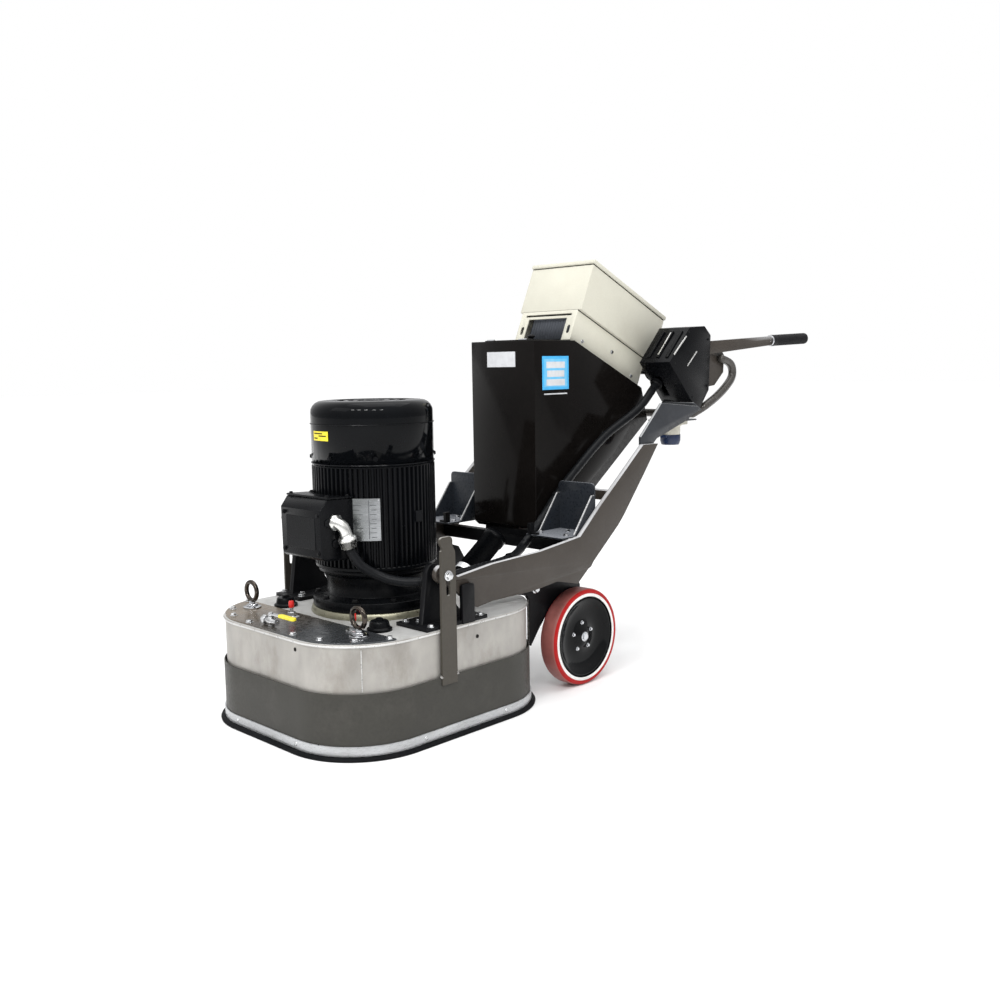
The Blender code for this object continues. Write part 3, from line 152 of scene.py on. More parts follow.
def surface(name, colour, rough, metal=0.0, shade=0.14, grain=70.0, bump=0.1, stretch=(1, 1, 1),
            spec=0.5, coat=0.0, dirt=None, top=None, speck=0.25, rough_range=0.08,
            broad=5.0):
    """A painted, cast or moulded surface: broad and fine colour change, painted highlight on upward faces,
    dirt, grain.

    Dirt is its colour and how much of it shows.
    """
    material = bpy.data.materials.new(name)
    material.use_nodes = True
    tree = material.node_tree
    shader = tree.nodes["Principled BSDF"]
    coords = node(tree, "ShaderNodeTexCoord", (-1400, 0))
    mapping = node(tree, "ShaderNodeMapping", (-1200, 0))
    mapping.inputs["Scale"].default_value = stretch
    tree.links.new(coords.outputs["Object"], mapping.inputs["Vector"])
    wide = noise(tree, (-1000, 250), mapping.outputs["Vector"], broad, 5.0)
    fine = noise(tree, (-1000, -50), mapping.outputs["Vector"], grain, 4.0)
    wide_value = ramp(tree, (-800, 250), wide, 0.35, 0.65)
    fine_value = ramp(tree, (-800, -50), fine, 0.35, 0.65)
    tint = mix_colour(tree, (-600, 250), wide_value, shade_of(colour, 1.0 - shade),
                      shade_of(colour, 1.0 + shade))
    speckle = mix_colour(tree, (-600, 50), fine_value, shade_of(colour, 0.72), shade_of(colour, 1.18))
    tint = mix_colour(tree, (-400, 200), speck, tint, speckle)
    # painted highlight: faces turned up blend into the lighter top colour, standing in for light from above
    if top is not None:
        upward = part_of(tree, (-1000, -600), coords.outputs["Normal"], "Z")
        up = ramp(tree, (-800, -600), upward, 0.45, 0.85)
        tint = mix_colour(tree, (0, 100), up, tint, (*top, 1.0))
    if dirt is not None:
        spot = noise(tree, (-1000, -350), mapping.outputs["Vector"], 11.0, 8.0, 0.68)
        share = ramp(tree, (-800, -350), spot, 0.5, 0.78)
        scaled = node(tree, "ShaderNodeMath", (-600, -350), operation="MULTIPLY")
        scaled.inputs[1].default_value = dirt[1]
        tree.links.new(share, scaled.inputs[0])
        tint = mix_colour(tree, (-200, 100), scaled.outputs[0], tint, (*dirt[0], 1.0))
    tree.links.new(tint, shader.inputs["Base Color"])
    gloss = node(tree, "ShaderNodeMapRange", (-400, -150))
    gloss.inputs[3].default_value = max(0.03, rough - rough_range)
    gloss.inputs[4].default_value = min(1.0, rough + rough_range)
    tree.links.new(fine_value, gloss.inputs[0])
    tree.links.new(gloss.outputs[0], shader.inputs["Roughness"])
    relief = node(tree, "ShaderNodeBump", (-200, -300))
    relief.inputs["Strength"].default_value = bump
    relief.inputs["Distance"].default_value = 0.0012
    tree.links.new(fine, relief.inputs["Height"])
    tree.links.new(relief.outputs["Normal"], shader.inputs["Normal"])
    shader.inputs["Metallic"].default_value = metal
    shader.inputs["Specular IOR Level"].default_value = spec
    shader.inputs["Coat Weight"].default_value = coat
    shader.inputs["Coat Roughness"].default_value = 0.08
    return material


# where a material has a top colour, it is a painted highlight: its upward faces turn lighter, standing in
# for light from above
M = {
    "cast": surface("cast_aluminium", (0.365, 0.35, 0.325), 0.5, 0.25, 0.2, 38, 0.3,
        dirt=((0.18, 0.155, 0.125), 0.6), broad=9, stretch=(1, 1, 0.55), top=(0.5, 0.5, 0.49)),
    "lip": surface("machined_lip", (0.6, 0.6, 0.59), 0.34, 0.7, 0.1, 90, 0.12,
        dirt=((0.25, 0.2, 0.15), 0.3)),
    "cover": surface("bronze_cover", (0.205, 0.165, 0.12), 0.28, 0.45, 0.22, 60, 0.08,
        dirt=((0.06, 0.05, 0.045), 0.5)),
    "shroud": surface("shroud_paint", (0.046, 0.0445, 0.039), 0.46, 0.0, 0.08, 120, 0.1,
        dirt=((0.095, 0.088, 0.08), 0.3), spec=0.22),
    "strap": surface("strap_paint", (0.058, 0.052, 0.043), 0.44, 0.0, 0.1, 120, 0.1,
        dirt=((0.1, 0.09, 0.08), 0.25), spec=0.22, top=(0.3, 0.29, 0.27)),
    "strip": surface("bright_strip", (0.5, 0.51, 0.52), 0.34, 0.75, 0.12, 80, 0.15, stretch=(1, 1, 6),
        dirt=((0.2, 0.19, 0.18), 0.4)),
    "rubber": surface("black_rubber", (0.0045, 0.005, 0.006), 0.6, 0.0, 0.2, 140, 0.25, spec=0.08,
        dirt=((0.03, 0.03, 0.029), 0.25)),
    "hose": surface("hose_rubber", (0.0065, 0.0072, 0.0085), 0.34, 0.0, 0.2, 140, 0.1, spec=0.14),
    "motor": surface("motor_gloss", (0.0032, 0.0036, 0.0045), 0.2, 0.0, 0.25, 160, 0.08, spec=0.09,
        rough_range=0.05),
    "cowl": surface("cowl_gloss", (0.003, 0.0034, 0.0042), 0.085, 0.0, 0.25, 60, 0.02, spec=0.1,
        rough_range=0.02),
    "bell": surface("adaptor_black", (0.0034, 0.0038, 0.0046), 0.3, 0.0, 0.3, 120, 0.1, spec=0.09,
        rough_range=0.06),
    "tank": surface("tank_gloss", (0.0052, 0.0044, 0.004), 0.12, 0.0, 0.25, 60, 0.03, spec=0.09,
        rough_range=0.03),
    "satin": surface("black_satin", (0.0045, 0.0047, 0.0055), 0.38, 0.0, 0.2, 150, 0.1, spec=0.12,
        dirt=((0.03, 0.028, 0.026), 0.2)),
    "box": surface("box_black", (0.0036, 0.0039, 0.0047), 0.26, 0.0, 0.2, 90, 0.03, spec=0.1,
        rough_range=0.03),
    "frame": surface("frame_paint", (0.048, 0.0405, 0.034), 0.4, 0.0, 0.12, 120, 0.12, spec=0.25,
        dirt=((0.085, 0.078, 0.07), 0.25), top=(0.5, 0.5, 0.51)),
    "weight": surface("bracket_paint", (0.016, 0.019, 0.024), 0.32, 0.0, 0.15, 110, 0.1, spec=0.25,
        dirt=((0.05, 0.05, 0.05), 0.35), top=(0.19, 0.2, 0.22)),
    "neck": surface("neck_paint", (0.034, 0.037, 0.043), 0.38, 0.1, 0.15, 110, 0.1, spec=0.3,
        dirt=((0.08, 0.08, 0.08), 0.3), top=(0.5, 0.51, 0.52)),
    "guard": surface("guard_paint", (0.06, 0.055, 0.05), 0.24, 0.3, 0.15, 110, 0.08, spec=0.5),
    "cream": surface("cream_paint", (0.61, 0.595, 0.505), 0.42, 0.0, 0.04, 300, 0.12, spec=0.35,
        dirt=((0.46, 0.42, 0.34), 0.2), speck=0.1),
    "zinc": surface("zinc_plate", (0.62, 0.63, 0.64), 0.24, 0.95, 0.12, 90, 0.08,
        dirt=((0.25, 0.23, 0.2), 0.25)),
    "silver": surface("cast_silver", (0.66, 0.66, 0.64), 0.22, 0.92, 0.08, 90, 0.05,
        dirt=((0.25, 0.24, 0.21), 0.3)),
    "chrome": surface("polished_steel", (0.55, 0.56, 0.58), 0.14, 1.0, 0.1, 90, 0.04, rough_range=0.05),
    "steel": surface("machined_steel", (0.42, 0.42, 0.42), 0.34, 0.9, 0.15, 80, 0.15, stretch=(1, 1, 4)),
    "olive": surface("olive_ring", (0.3, 0.29, 0.21), 0.34, 0.7, 0.18, 70, 0.12,
        dirt=((0.1, 0.09, 0.06), 0.5)),
    "tread": surface("polyurethane_tread", (0.3, 0.1, 0.088), 0.42, 0.0, 0.16, 60, 0.15, spec=0.45,
        dirt=((0.1, 0.055, 0.045), 0.5)),
    "wall": surface("polyurethane_side", (0.38, 0.005, 0.005), 0.4, 0.0, 0.1, 60, 0.08, spec=0.2,
        dirt=((0.24, 0.01, 0.01), 0.3)),
    "white_ring": surface("white_ring", (0.82, 0.81, 0.79), 0.45, 0.0, 0.05, 60, 0.06,
        dirt=((0.5, 0.47, 0.42), 0.3)),
    "hub": surface("hub_gloss", (0.0035, 0.0038, 0.0042), 0.12, 0.0, 0.3, 60, 0.04, spec=0.13,
        rough_range=0.04),
    "dark_chrome": surface("dark_chrome", (0.066, 0.056, 0.048), 0.1, 1.0, 0.2, 60, 0.02,
        rough_range=0.03),
    "fin": surface("heat_sink", (0.115, 0.125, 0.145), 0.42, 0.6, 0.15, 120, 0.12),
    "grip": surface("grip_rubber", (0.008, 0.008, 0.009), 0.55, 0.0, 0.2, 260, 0.35, spec=0.2),
    "red": surface("red_cap", (0.72, 0.018, 0.014), 0.32, 0.0, 0.08, 80, 0.05, coat=0.2),
    "yellow": surface("yellow_sleeve", (0.86, 0.72, 0.03), 0.4, 0.0, 0.06, 90, 0.1,
        dirt=((0.45, 0.36, 0.04), 0.3)),
    "green": surface("green_button", (0.03, 0.36, 0.1), 0.34, 0.0, 0.06, 90, 0.05),
    "navy": surface("navy_cap", (0.008, 0.02, 0.062), 0.36, 0.0, 0.15, 120, 0.1),
    "ivory": surface("ivory_plastic", (0.55, 0.53, 0.45), 0.42, 0.0, 0.08, 120, 0.08,
        dirt=((0.3, 0.28, 0.22), 0.3)),
    "plate": surface("engraved_plate", (0.31, 0.32, 0.33), 0.28, 0.85, 0.25, 40, 0.2, stretch=(1, 1, 5),
        dirt=((0.1, 0.1, 0.1), 0.5)),
    "label_blue": surface("blue_label", (0.13, 0.5, 0.8), 0.36, 0.0, 0.1, 60, 0.03,
        dirt=((0.45, 0.68, 0.8), 0.5)),
    "label_pale": surface("pale_label", (0.62, 0.63, 0.65), 0.4, 0.0, 0.1, 60, 0.03),
    "label_frame": surface("blue_border", (0.05, 0.42, 0.8), 0.36, 0.0, 0.05, 60, 0.03),
    "lettering": surface("engraved_lines", (0.075, 0.08, 0.085), 0.5, 0.2, 0.2, 90, 0.1, spec=0.3),
    "gasket": surface("gasket_black", (0.01, 0.009, 0.008), 0.6, 0.0, 0.2, 140, 0.2, spec=0.15),
    "segment": surface("diamond_segment", (0.22, 0.19, 0.12), 0.6, 0.7, 0.3, 160, 0.6,
        dirt=((0.3, 0.29, 0.27), 0.5)),
    "weld": surface("weld_bead", (0.34, 0.33, 0.32), 0.4, 0.8, 0.25, 120, 0.5),
}


def darken_across(material, low, high, colour):
    """Blend a surface's colour into another along the object's X."""
    tree = material.node_tree
    shader = tree.nodes["Principled BSDF"]
    tint = shader.inputs["Base Color"].links[0].from_socket
    coords = node(tree, "ShaderNodeTexCoord", (-600, 700))
    share = ramp(tree, (-200, 700), part_of(tree, (-400, 700), coords.outputs["Object"], "X"), low, high)
    tree.links.new(mix_colour(tree, (0, 700), share, tint, (*colour, 1.0)), shader.inputs["Base Color"])


darken_across(M["cover"], -0.22, 0.1, (0.047, 0.051, 0.056))
# painted shade: the curved rating plate darkens across its width, towards its end nearer the front
darken_across(M["plate"], 0.142, 0.086, (0.17, 0.18, 0.18))

# ---------------------------------------------------------------- mesh tools


def linked(name, data):
    made = bpy.data.objects.new(name, data)
    bpy.context.scene.collection.objects.link(made)
    return made


def mesh_object(name, work, material):
    mesh = bpy.data.meshes.new(name)
    work.to_mesh(mesh)
    work.free()
    mesh.materials.append(material)
    return linked(name, mesh)


def add_rounding(made, width, segments, angle):
    rounding = made.modifiers.new("edges", "BEVEL")
    rounding.width = width
    rounding.segments = segments
    rounding.limit_method = "ANGLE"
    rounding.angle_limit = angle
    rounding.harden_normals = True


def piece(name, work, body, material, replaced=None, bevel=0.0, smooth=40.0, segments=2):
    """Turn a bmesh into a named piece that rides on a body, in place of a CAD node or beside it."""
    bmesh.ops.remove_doubles(work, verts=work.verts, dist=0.00001)
    bmesh.ops.recalc_face_normals(work, faces=work.faces)
    made = mesh_object(name, work, M[material])
    made.data.shade_smooth()
    made.data.set_sharp_from_angle(angle=math.radians(smooth))
    if bevel > 0.0:
        add_rounding(made, bevel, segments, math.radians(35))
    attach(made, body)
    if replaced is not None:
        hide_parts(replaced)


def basis(origin, normal, across=(0.0, 0.0, 1.0)):
    """A matrix whose Z is the normal, with its X as near as can be to across."""
    z_axis = Vector(normal).normalized()
    x_axis = Vector(across) - z_axis * Vector(across).dot(z_axis)
    if x_axis.length < 1e-5:
        x_axis = Vector((1.0, 0.0, 0.0)) - z_axis * z_axis.x
    x_axis.normalize()
    matrix = Matrix((x_axis, z_axis.cross(x_axis), z_axis)).transposed().to_4x4()
    matrix.translation = Vector(origin)
    return matrix


def join_rings(work, rings, closed=False):
    """Faces between neighbouring rings of vertices; a ring may be a single vertex."""
    pairs = list(zip(rings, rings[1:]))
    if closed:
        pairs.append((rings[-1], rings[0]))
    for first, second in pairs:
        count = max(len(first), len(second))
        for i in range(count):
            j = (i + 1) % count
            corners = dict.fromkeys((first[i % len(first)], first[j % len(first)],
                                     second[j % len(second)], second[i % len(second)]))
            if len(corners) > 2:
                work.faces.new(tuple(corners))


def add_turned(work, profile, matrix, steps=32, closed=False):
    """A (radius, height) profile turned round the matrix's Z."""
    rings = []
    for radius, height in profile:
        if radius < 1e-6:
            rings.append([work.verts.new(matrix @ Vector((0.0, 0.0, height)))])
            continue
        ring = []
        for i in range(steps):
            angle = 2 * math.pi * i / steps
            ring.append(work.verts.new(matrix @ Vector((radius * math.cos(angle),
                                                        radius * math.sin(angle), height))))
        rings.append(ring)
    join_rings(work, rings, closed)


def mm(*points):
    """Points given in millimetres."""
    return [(u / 1000, v / 1000) for u, v in points]


def disc(radius, low, high):
    return [(0.0, low), (radius, low), (radius, high), (0.0, high)]


def rectangle(half_u, half_v):
    return [(-half_u, -half_v), (half_u, -half_v), (half_u, half_v), (-half_u, half_v)]


def add_prism(work, outline, low, high, matrix):
    """A flat outline in the matrix's XY, between two heights."""
    bottom = [work.verts.new(matrix @ Vector((u, v, low))) for u, v in outline]
    top = [work.verts.new(matrix @ Vector((u, v, high))) for u, v in outline]
    work.faces.new(bottom[::-1])
    work.faces.new(top)
    join_rings(work, [bottom, top])


def add_box(work, low, high, matrix=None):
    matrix = matrix or Matrix.Identity(4)
    outline = [(low[0], low[1]), (high[0], low[1]), (high[0], high[1]), (low[0], high[1])]
    add_prism(work, outline, low[2], high[2], matrix)


def add_hex_bolt(work, origin, normal, size, height, turn=0.0):
    """A chamfered hexagon head on its washer."""
    matrix = basis(origin, normal) @ Matrix.Rotation(turn, 4, "Z")
    add_turned(work, [(0.0, 0.0), (size * 1.32, 0.0), (size * 1.32, 0.0011), (size * 1.22, 0.0016),
                      (0.0, 0.0016)], matrix, 20)
    base = 0.0014
    add_turned(work, [(0.0, base), (size, base), (size, base + height * 0.82),
                      (size * 0.88, base + height), (0.0, base + height)], matrix, 6)


def add_dome(work, origin, normal, radius, height, steps=14):
    matrix = basis(origin, normal)
    profile = [(0.0, 0.0), (radius, 0.0), (radius * 0.94, height * 0.45),
               (radius * 0.65, height * 0.85), (0.0, height)]
    add_turned(work, profile, matrix, steps)


def add_torus(work, matrix, big, small, steps=40, sides=14):
    profile = []
    for i in range(sides):
        angle = 2 * math.pi * i / sides
        profile.append((big + small * math.cos(angle), small * math.sin(angle)))
    add_turned(work, profile, matrix, steps, closed=True)


def sweep_frames(points):
    """Parallel-transported frames along a chain of points."""
    frames = []
    tangent = (points[1] - points[0]).normalized()
    side = tangent.orthogonal().normalized()
    for i, point in enumerate(points):
        before = points[max(i - 1, 0)]
        after = points[min(i + 1, len(points) - 1)]
        heading = (after - before).normalized()
        side = (side - heading * side.dot(heading)).normalized()
        frames.append((point, side, heading.cross(side)))
    return frames


def add_sweep(work, points, radius, sides=16, ribs=0.0, pitch=0.006):
    """A tube along points; with ribs its radius waves along the run."""
    frames = sweep_frames(points)
    rings = []
    travelled = 0.0
    for i, (point, side, up) in enumerate(frames):
        if i:
            travelled += (points[i] - points[i - 1]).length
        here = radius + ribs * math.cos(2 * math.pi * travelled / pitch)
        ring = []
        for k in range(sides):
            angle = 2 * math.pi * k / sides
            ring.append(work.verts.new(point + (side * math.cos(angle) + up * math.sin(angle)) * here))
        rings.append(ring)
    join_rings(work, rings)
    work.faces.new(rings[0][::-1])
    work.faces.new(rings[-1])


def smooth_run(points, steps):
    """Catmull-Rom points through a chain of given points."""
    anchors = [Vector(p) for p in points]
    chain = [2 * anchors[0] - anchors[1], *anchors, 2 * anchors[-1] - anchors[-2]]
    result = []
    for i in range(1, len(chain) - 2):
        a, b, c, d = chain[i - 1:i + 3]
        for k in range(steps):
            t = k / steps
            result.append(0.5 * (2 * b + (c - a) * t + (2 * a - 5 * b + 4 * c - d) * t ** 2
                                 + (3 * b - a - 3 * c + d) * t ** 3))
    result.append(anchors[-1])
    return result


def arc(centre, radius, start, end, steps):
    points = []
    for i in range(steps + 1):
        angle = math.radians(start + (end - start) * i / steps)
        points.append((centre[0] + radius * math.cos(angle), centre[1] + radius * math.sin(angle)))
    return points


def rounded_rectangle(half_x, half_y, radius, steps, middle=(0.0, 0.0)):
    points = []
    for quarter, (sx, sy) in enumerate(((1, 1), (-1, 1), (-1, -1), (1, -1))):
        corner = (middle[0] + sx * (half_x - radius), middle[1] + sy * (half_y - radius))
        points += arc(corner, radius, 90.0 * quarter, 90.0 * (quarter + 1), steps)
    return points


def head_outline(offset, steps=26):
    """The head's plan, from the motor's axis, grown outwards by offset."""
    return rounded_rectangle(HEAD_HALF_X + offset, HEAD_HALF_Y + offset, HEAD_CORNER + offset, steps)


def add_band(work, rings, closed=True):
    """Rings of (offset, z) that follow the head's plan."""
    made = [[work.verts.new(at(x, y, z)) for x, y in head_outline(offset)] for offset, z in rings]
    join_rings(work, made, closed)
    return made


def yz_matrix(x):
    """Outline (y, z) standing upright, extruded along +X from x."""
    return Matrix(((0, 0, 1, x), (1, 0, 0, AXIS_Y), (0, 1, 0, 0), (0, 0, 0, 1)))


def tilt_matrix(origin):
    """At an origin (y, z), its Y down the cabinet's slope."""
    y_axis = Vector((0.0, math.cos(TILT), -math.sin(TILT)))
    z_axis = Vector((0.0, math.sin(TILT), math.cos(TILT)))
    matrix = Matrix((Vector((1, 0, 0)), y_axis, z_axis)).transposed().to_4x4()
    matrix.translation = at(0.0, *origin)
    return matrix


# ---------------------------------------------------------------- carried-over CAD nodes


CAD_SMOOTH = math.radians(32)


def dress(solid, material, bevel):
    """Give a CAD node its material and soft edges; its mesh keeps its points."""
    solid.data.materials.clear()
    solid.data.materials.append(M[material])
    weld = solid.modifiers.new("weld", "WELD")
    weld.merge_threshold = 0.00001
    if bevel > 0.0:
        add_rounding(solid, bevel, 2, CAD_SMOOTH)
    solid.data.shade_smooth()
    solid.data.set_sharp_from_angle(angle=CAD_SMOOTH)


for material, bevel, names in (
        ("steel", 0.0, "gearbox_housing motor_shaft"), ("steel", 0.001, "planet_carrier"),
        ("segment", 0.001, "grinding_disc_1 grinding_disc_2 grinding_disc_3"),
        ("olive", 0.0015, "adaptor_ring"), ("bell", 0.002, "motor_adaptor"), ("bell", 0.0, "dust_pipe"),
        ("cowl", 0.0, "fan_cowl"), ("satin", 0.0, "cooling_fan"), ("silver", 0.0, "conduit_elbow"),
        ("box", 0.003, "conduit_box"), ("box", 0.002, "conduit_box_lid"), ("box", 0.005, "control_box"),
        ("frame", 0.0014, "side_frame_left side_frame_right"), ("frame", 0.002, "handle_frame"),
        ("satin", 0.002, "frame_crossmember"), ("satin", 0.0015, "wheel_hanger_left wheel_hanger_right"),
        ("satin", 0.0015, "pivot_bracket_left pivot_bracket_right"),
        ("zinc", 0.0006, "pivot_bolt_left pivot_bolt_right"), ("hub", 0.0, "wheel_hub_left wheel_hub_right"),
        ("weight", 0.0008, "weight_bracket_left weight_bracket_right"),
        ("neck", 0.0015, "neck_plate_left neck_plate_right"), ("guard", 0.0, "handle_guard"),
        ("tank", 0.0022, "water_tank"), ("tank", 0.001, "tank_lid"),
        ("cream", 0.001, "cabinet_channel"), ("cream", 0.0, "drive_cabinet cabinet_lid"),
        ("fin", 0.0, "heat_sink"), ("ivory", 0.001, "power_inlet"), ("navy", 0.0015, "inlet_cap"),
        ("red", 0.001, "emergency_stop"), ("green", 0.0006, "start_button")):
    for name in names.split():
        dress(NODES[name], material, bevel)

# ---------------------------------------------------------------- head: housing, shroud, skirt

work = bmesh.new()
rings = add_band(work, mm((-8.5, 150), (-8.5, 285.5), (-7.8, 288.5), (-5.8, 290.5), (-4.5, 292.5),
                          (-4.5, 296.5), (-5.6, 298.5), (-8.5, 299)),
                 closed=False)
work.faces.new(rings[-1])
inner = add_band(work, mm((-15.5, 287), (-15.5, 150)), closed=False)
work.faces.new(inner[0][::-1])
for i in range(len(rings[0])):
    j = (i + 1) % len(rings[0])
    work.faces.new((rings[0][i], inner[-1][i], inner[-1][j], rings[0][j]))
piece("housing_casting", work, "head", "cast", "deck_housing", smooth=50.0)

work = bmesh.new()
add_band(work, mm((-3.8, 291.2), (-3, 292.5), (-3, 295), (-4.2, 296.2), (-5.2, 295), (-5.2, 292)))
piece("housing_lip_bead", work, "head", "lip")

# the front cover, drawn again with a fine curved edge
work = bmesh.new()
plan = head_outline(-0.0095)
front = [p for p in plan if p[1] < -0.216]
outline = [(front[0][0], -0.216), *front, (front[-1][0], -0.216)]
add_prism(work, outline, DECK_TOP + GAP, COVER_TOP, Matrix.Translation((0, AXIS_Y, 0)))
piece("cover_sheet", work, "head", "cover", "front_cover_plate", bevel=0.001)

# the shroud: a rolled band with a folded top edge
work = bmesh.new()
add_band(work, mm((0, 12), (0, 170), (-0.6, 171.6), (-2, 172.2), (-3.4, 171.6), (-4, 170), (-4, 12)))
piece("shroud_sheet", work, "shroud", "shroud", "shroud_band", smooth=60.0)


def strap_outline():
    middle, half = PIVOT[0], 0.0275
    loop = [(middle - half, 0.15), (middle + half, 0.15), (middle + half, 0.5)]
    loop += [(middle + half - 0.001, 0.506), (middle + half - 0.006, 0.514), (middle + half - 0.009, 0.522)]
    loop += arc((middle + half - 0.021, 0.534), 0.012, 0.0, 90.0, 6)
    loop += arc((middle - half + 0.012, 0.534), 0.012, 90.0, 180.0, 6)
    loop += arc((middle - half, 0.516), 0.008, 60.0, -60.0, 8)
    return loop


def add_plate_with_slot(work, outline, slot, x_low, x_high):
    """An upright plate with one slot through it."""
    curve = bpy.data.curves.new("slotted", "CURVE")
    curve.dimensions = "2D"
    curve.fill_mode = "BOTH"
    curve.extrude = (x_high - x_low) / 2
    for loop in (outline, slot):
        spline = curve.splines.new("POLY")
        spline.points.add(len(loop) - 1)
        for point, (u, v) in zip(spline.points, loop):
            point.co = (u, v, 0.0, 1.0)
        spline.use_cyclic_u = True
    holder = linked("slotted", curve)
    holder.matrix_world = yz_matrix((x_low + x_high) / 2)
    bpy.context.view_layer.update()
    graph = bpy.context.evaluated_depsgraph_get()
    mesh = bpy.data.meshes.new_from_object(holder.evaluated_get(graph))
    mesh.transform(holder.matrix_world)
    work.from_mesh(mesh)
    bpy.data.objects.remove(holder, do_unlink=True)
    bpy.data.meshes.remove(mesh)


for side, tag in SIDES:
    work = bmesh.new()
    slot = arc((PIVOT[0], 0.443), 0.00675, 0.0, 180.0, 10)
    slot += arc((PIVOT[0], 0.39475), 0.00675, 180.0, 360.0, 10)
    low, high = (0.3526, 0.3596) if side > 0 else (-0.3596, -0.3526)
    add_plate_with_slot(work, strap_outline(), slot, low, high)
    piece("lifting_strap_" + tag, work, "shroud", "strap", bevel=0.001)
    work = bmesh.new()
    for k, y in enumerate((-0.08, -0.0225)):
        for n in range(5):
            spot = at(side * (0.3562 + 0.0008 * (n % 2)), y + 0.001 * ((n * 7 + k) % 3 - 1),
                      0.1724 + 0.0006 * n)
            add_dome(work, spot, (side * 0.6, 0.2 - 0.1 * n, 0.7), 0.0036 + 0.0007 * (n % 3), 0.0026, 10)
    piece("strap_welds_" + tag, work, "shroud", "weld")

# the clamp strip with its rivets, and the flared skirt
work = bmesh.new()
add_band(work, mm((0.5, 10.4), (3.4, 10.4), (3.8, 11.2), (3.8, 35.8), (3.4, 36.8), (0.5, 36.8)))
piece("clamp_band", work, "shroud", "strip", "clamp_strip", smooth=60.0)


def outline_places(offset, spacing):
    """Evenly spaced places on the head's outline, with their outward normals."""
    loop = head_outline(offset, 40)
    closed = [*loop, loop[0]]
    lengths = [0.0]
    for a, b in zip(closed, closed[1:]):
        lengths.append(lengths[-1] + math.dist(a, b))
    count = round(lengths[-1] / spacing)
    places = []
    for n in range(count):
        target = n * lengths[-1] / count
        for i in range(len(loop)):
            if lengths[i] <= target <= lengths[i + 1]:
                share = (target - lengths[i]) / max(1e-9, lengths[i + 1] - lengths[i])
                a, b = closed[i], closed[i + 1]
                x = a[0] + (b[0] - a[0]) * share
                y = a[1] + (b[1] - a[1]) * share
                along = Vector((b[0] - a[0], b[1] - a[1], 0.0)).normalized()
                places.append((x, y, Vector((along.y, -along.x, 0.0))))
                break
    return places


def nearest(places, target):
    return min(places, key=lambda p: math.dist((p[0], p[1]), target))


work = bmesh.new()
strip_places = outline_places(0.0038, 0.004)
for target in [(sx * 0.137, sy * 0.391) for sx in (1, -1) for sy in (1, -1)] + \
              [(sx * 0.36, y) for sx in (1, -1) for y in (-0.142, 0.159)]:
    x, y, normal = nearest(strip_places, target)
    add_dome(work, at(x, y, 0.0245), normal, 0.0056, 0.0032, 16)
piece("clamp_rivets", work, "shroud", "zinc")

work = bmesh.new()
add_band(work, mm((-5.5, 3.4), (-5, 9.4), (7, 9.4), (8.6, 8.6), (11.5, 6.8), (15, 5.2), (16, 3.4),
                  (15.4, 1), (13.5, 0), (4, 0), (2.2, 1.2), (2, 3.4)))
piece("skirt_rubber", work, "shroud", "rubber", "rubber_skirt", smooth=70.0)

# weld seam down the housing's wall, small plugs under the lip
work = bmesh.new()
wall_places = outline_places(HOUSING_INSET, 0.004)
x, y, normal = nearest(wall_places, (0.304, -0.304))
run = [at(x, y, 0.176) + normal * 0.0002, at(x, y, 0.284) + normal * 0.0002]
steps = [run[0].lerp(run[1], i / 60) for i in range(61)]
add_sweep(work, steps, 0.0016, 8, 0.0005, 0.0045)
piece("housing_weld_seam", work, "head", "lip")

work = bmesh.new()
for target, z in (((0.348, 0.063), 0.255), ((0.134, -0.382), 0.272), ((-0.348, 0.063), 0.255)):
    x, y, normal = nearest(wall_places, target)
    matrix = basis(at(x, y, z), normal)
    add_turned(work, mm((0, 0.4), (3.4, 0.4), (4.2, 1.2), (5.2, 1), (5.6, -0.4), (0, -0.4)), matrix, 16)
piece("housing_drain_plugs", work, "head", "gasket")

# ---------------------------------------------------------------- deck fittings

work = bmesh.new()
for n, (x, y) in enumerate(((-0.275, -0.312), (-0.2, -0.355), (-0.098, -0.369), (0.106, -0.368),
                            (0.204, -0.355), (0.282, -0.304), (0.327, -0.228), (-0.327, -0.228))):
    add_hex_bolt(work, at(x, y, COVER_TOP), (0, 0, 1), 0.008, 0.0055, turn=0.5 * n)
piece("cover_bolts", work, "head", "zinc")

work = bmesh.new()
for side in (1, -1):
    for n, (x, y) in enumerate(((0.336, -0.095), (0.267, -0.076), (0.24, -0.1), (0.336, 0.085),
                                (0.24, 0.085), (0.24, 0.0))):
        add_hex_bolt(work, at(side * x, y, BRACKET_TOP), (0, 0, 1), 0.0078, 0.0052, turn=0.4 * n)
piece("bracket_bolts", work, "head", "zinc")

work = bmesh.new()
for n in range(10):
    add_hex_bolt(work, at(0, 0, 0.3472) + outward_at(36 * n + 12) * 0.17, (0, 0, 1), 0.0078, 0.006)
piece("flange_bolts", work, "head", "satin")

for side, tag in SIDES:
    work = bmesh.new()
    stand = stand_at(side * 0.248, -0.264, FITTING_BASE)
    facing = stand @ Matrix.Translation((0, 0, 0.0475)) @ Matrix.Rotation(math.radians(90), 4, "X")
    add_turned(work, mm((0, 20), (7.2, 20), (8.5, 16), (8.5, 10), (0, 10)), stand, 20)
    add_turned(work, mm((0, 10.5), (15.5, 10), (16.5, 8.5), (16.5, 3.6), (0, 3.6)), stand, 6)
    add_turned(work, mm((0, 3.8), (24.5, 3.8), (25.8, 2.6), (25.8, 0), (0, 0)), stand, 32)
    piece("lifting_eye_" + tag, work, "head", "chrome", "eye_bolt_" + tag, smooth=45.0)
    work = bmesh.new()
    add_torus(work, facing, 0.0266, 0.0066, 44, 14)
    piece("lifting_ring_" + tag, work, "head", "dark_chrome", smooth=45.0)

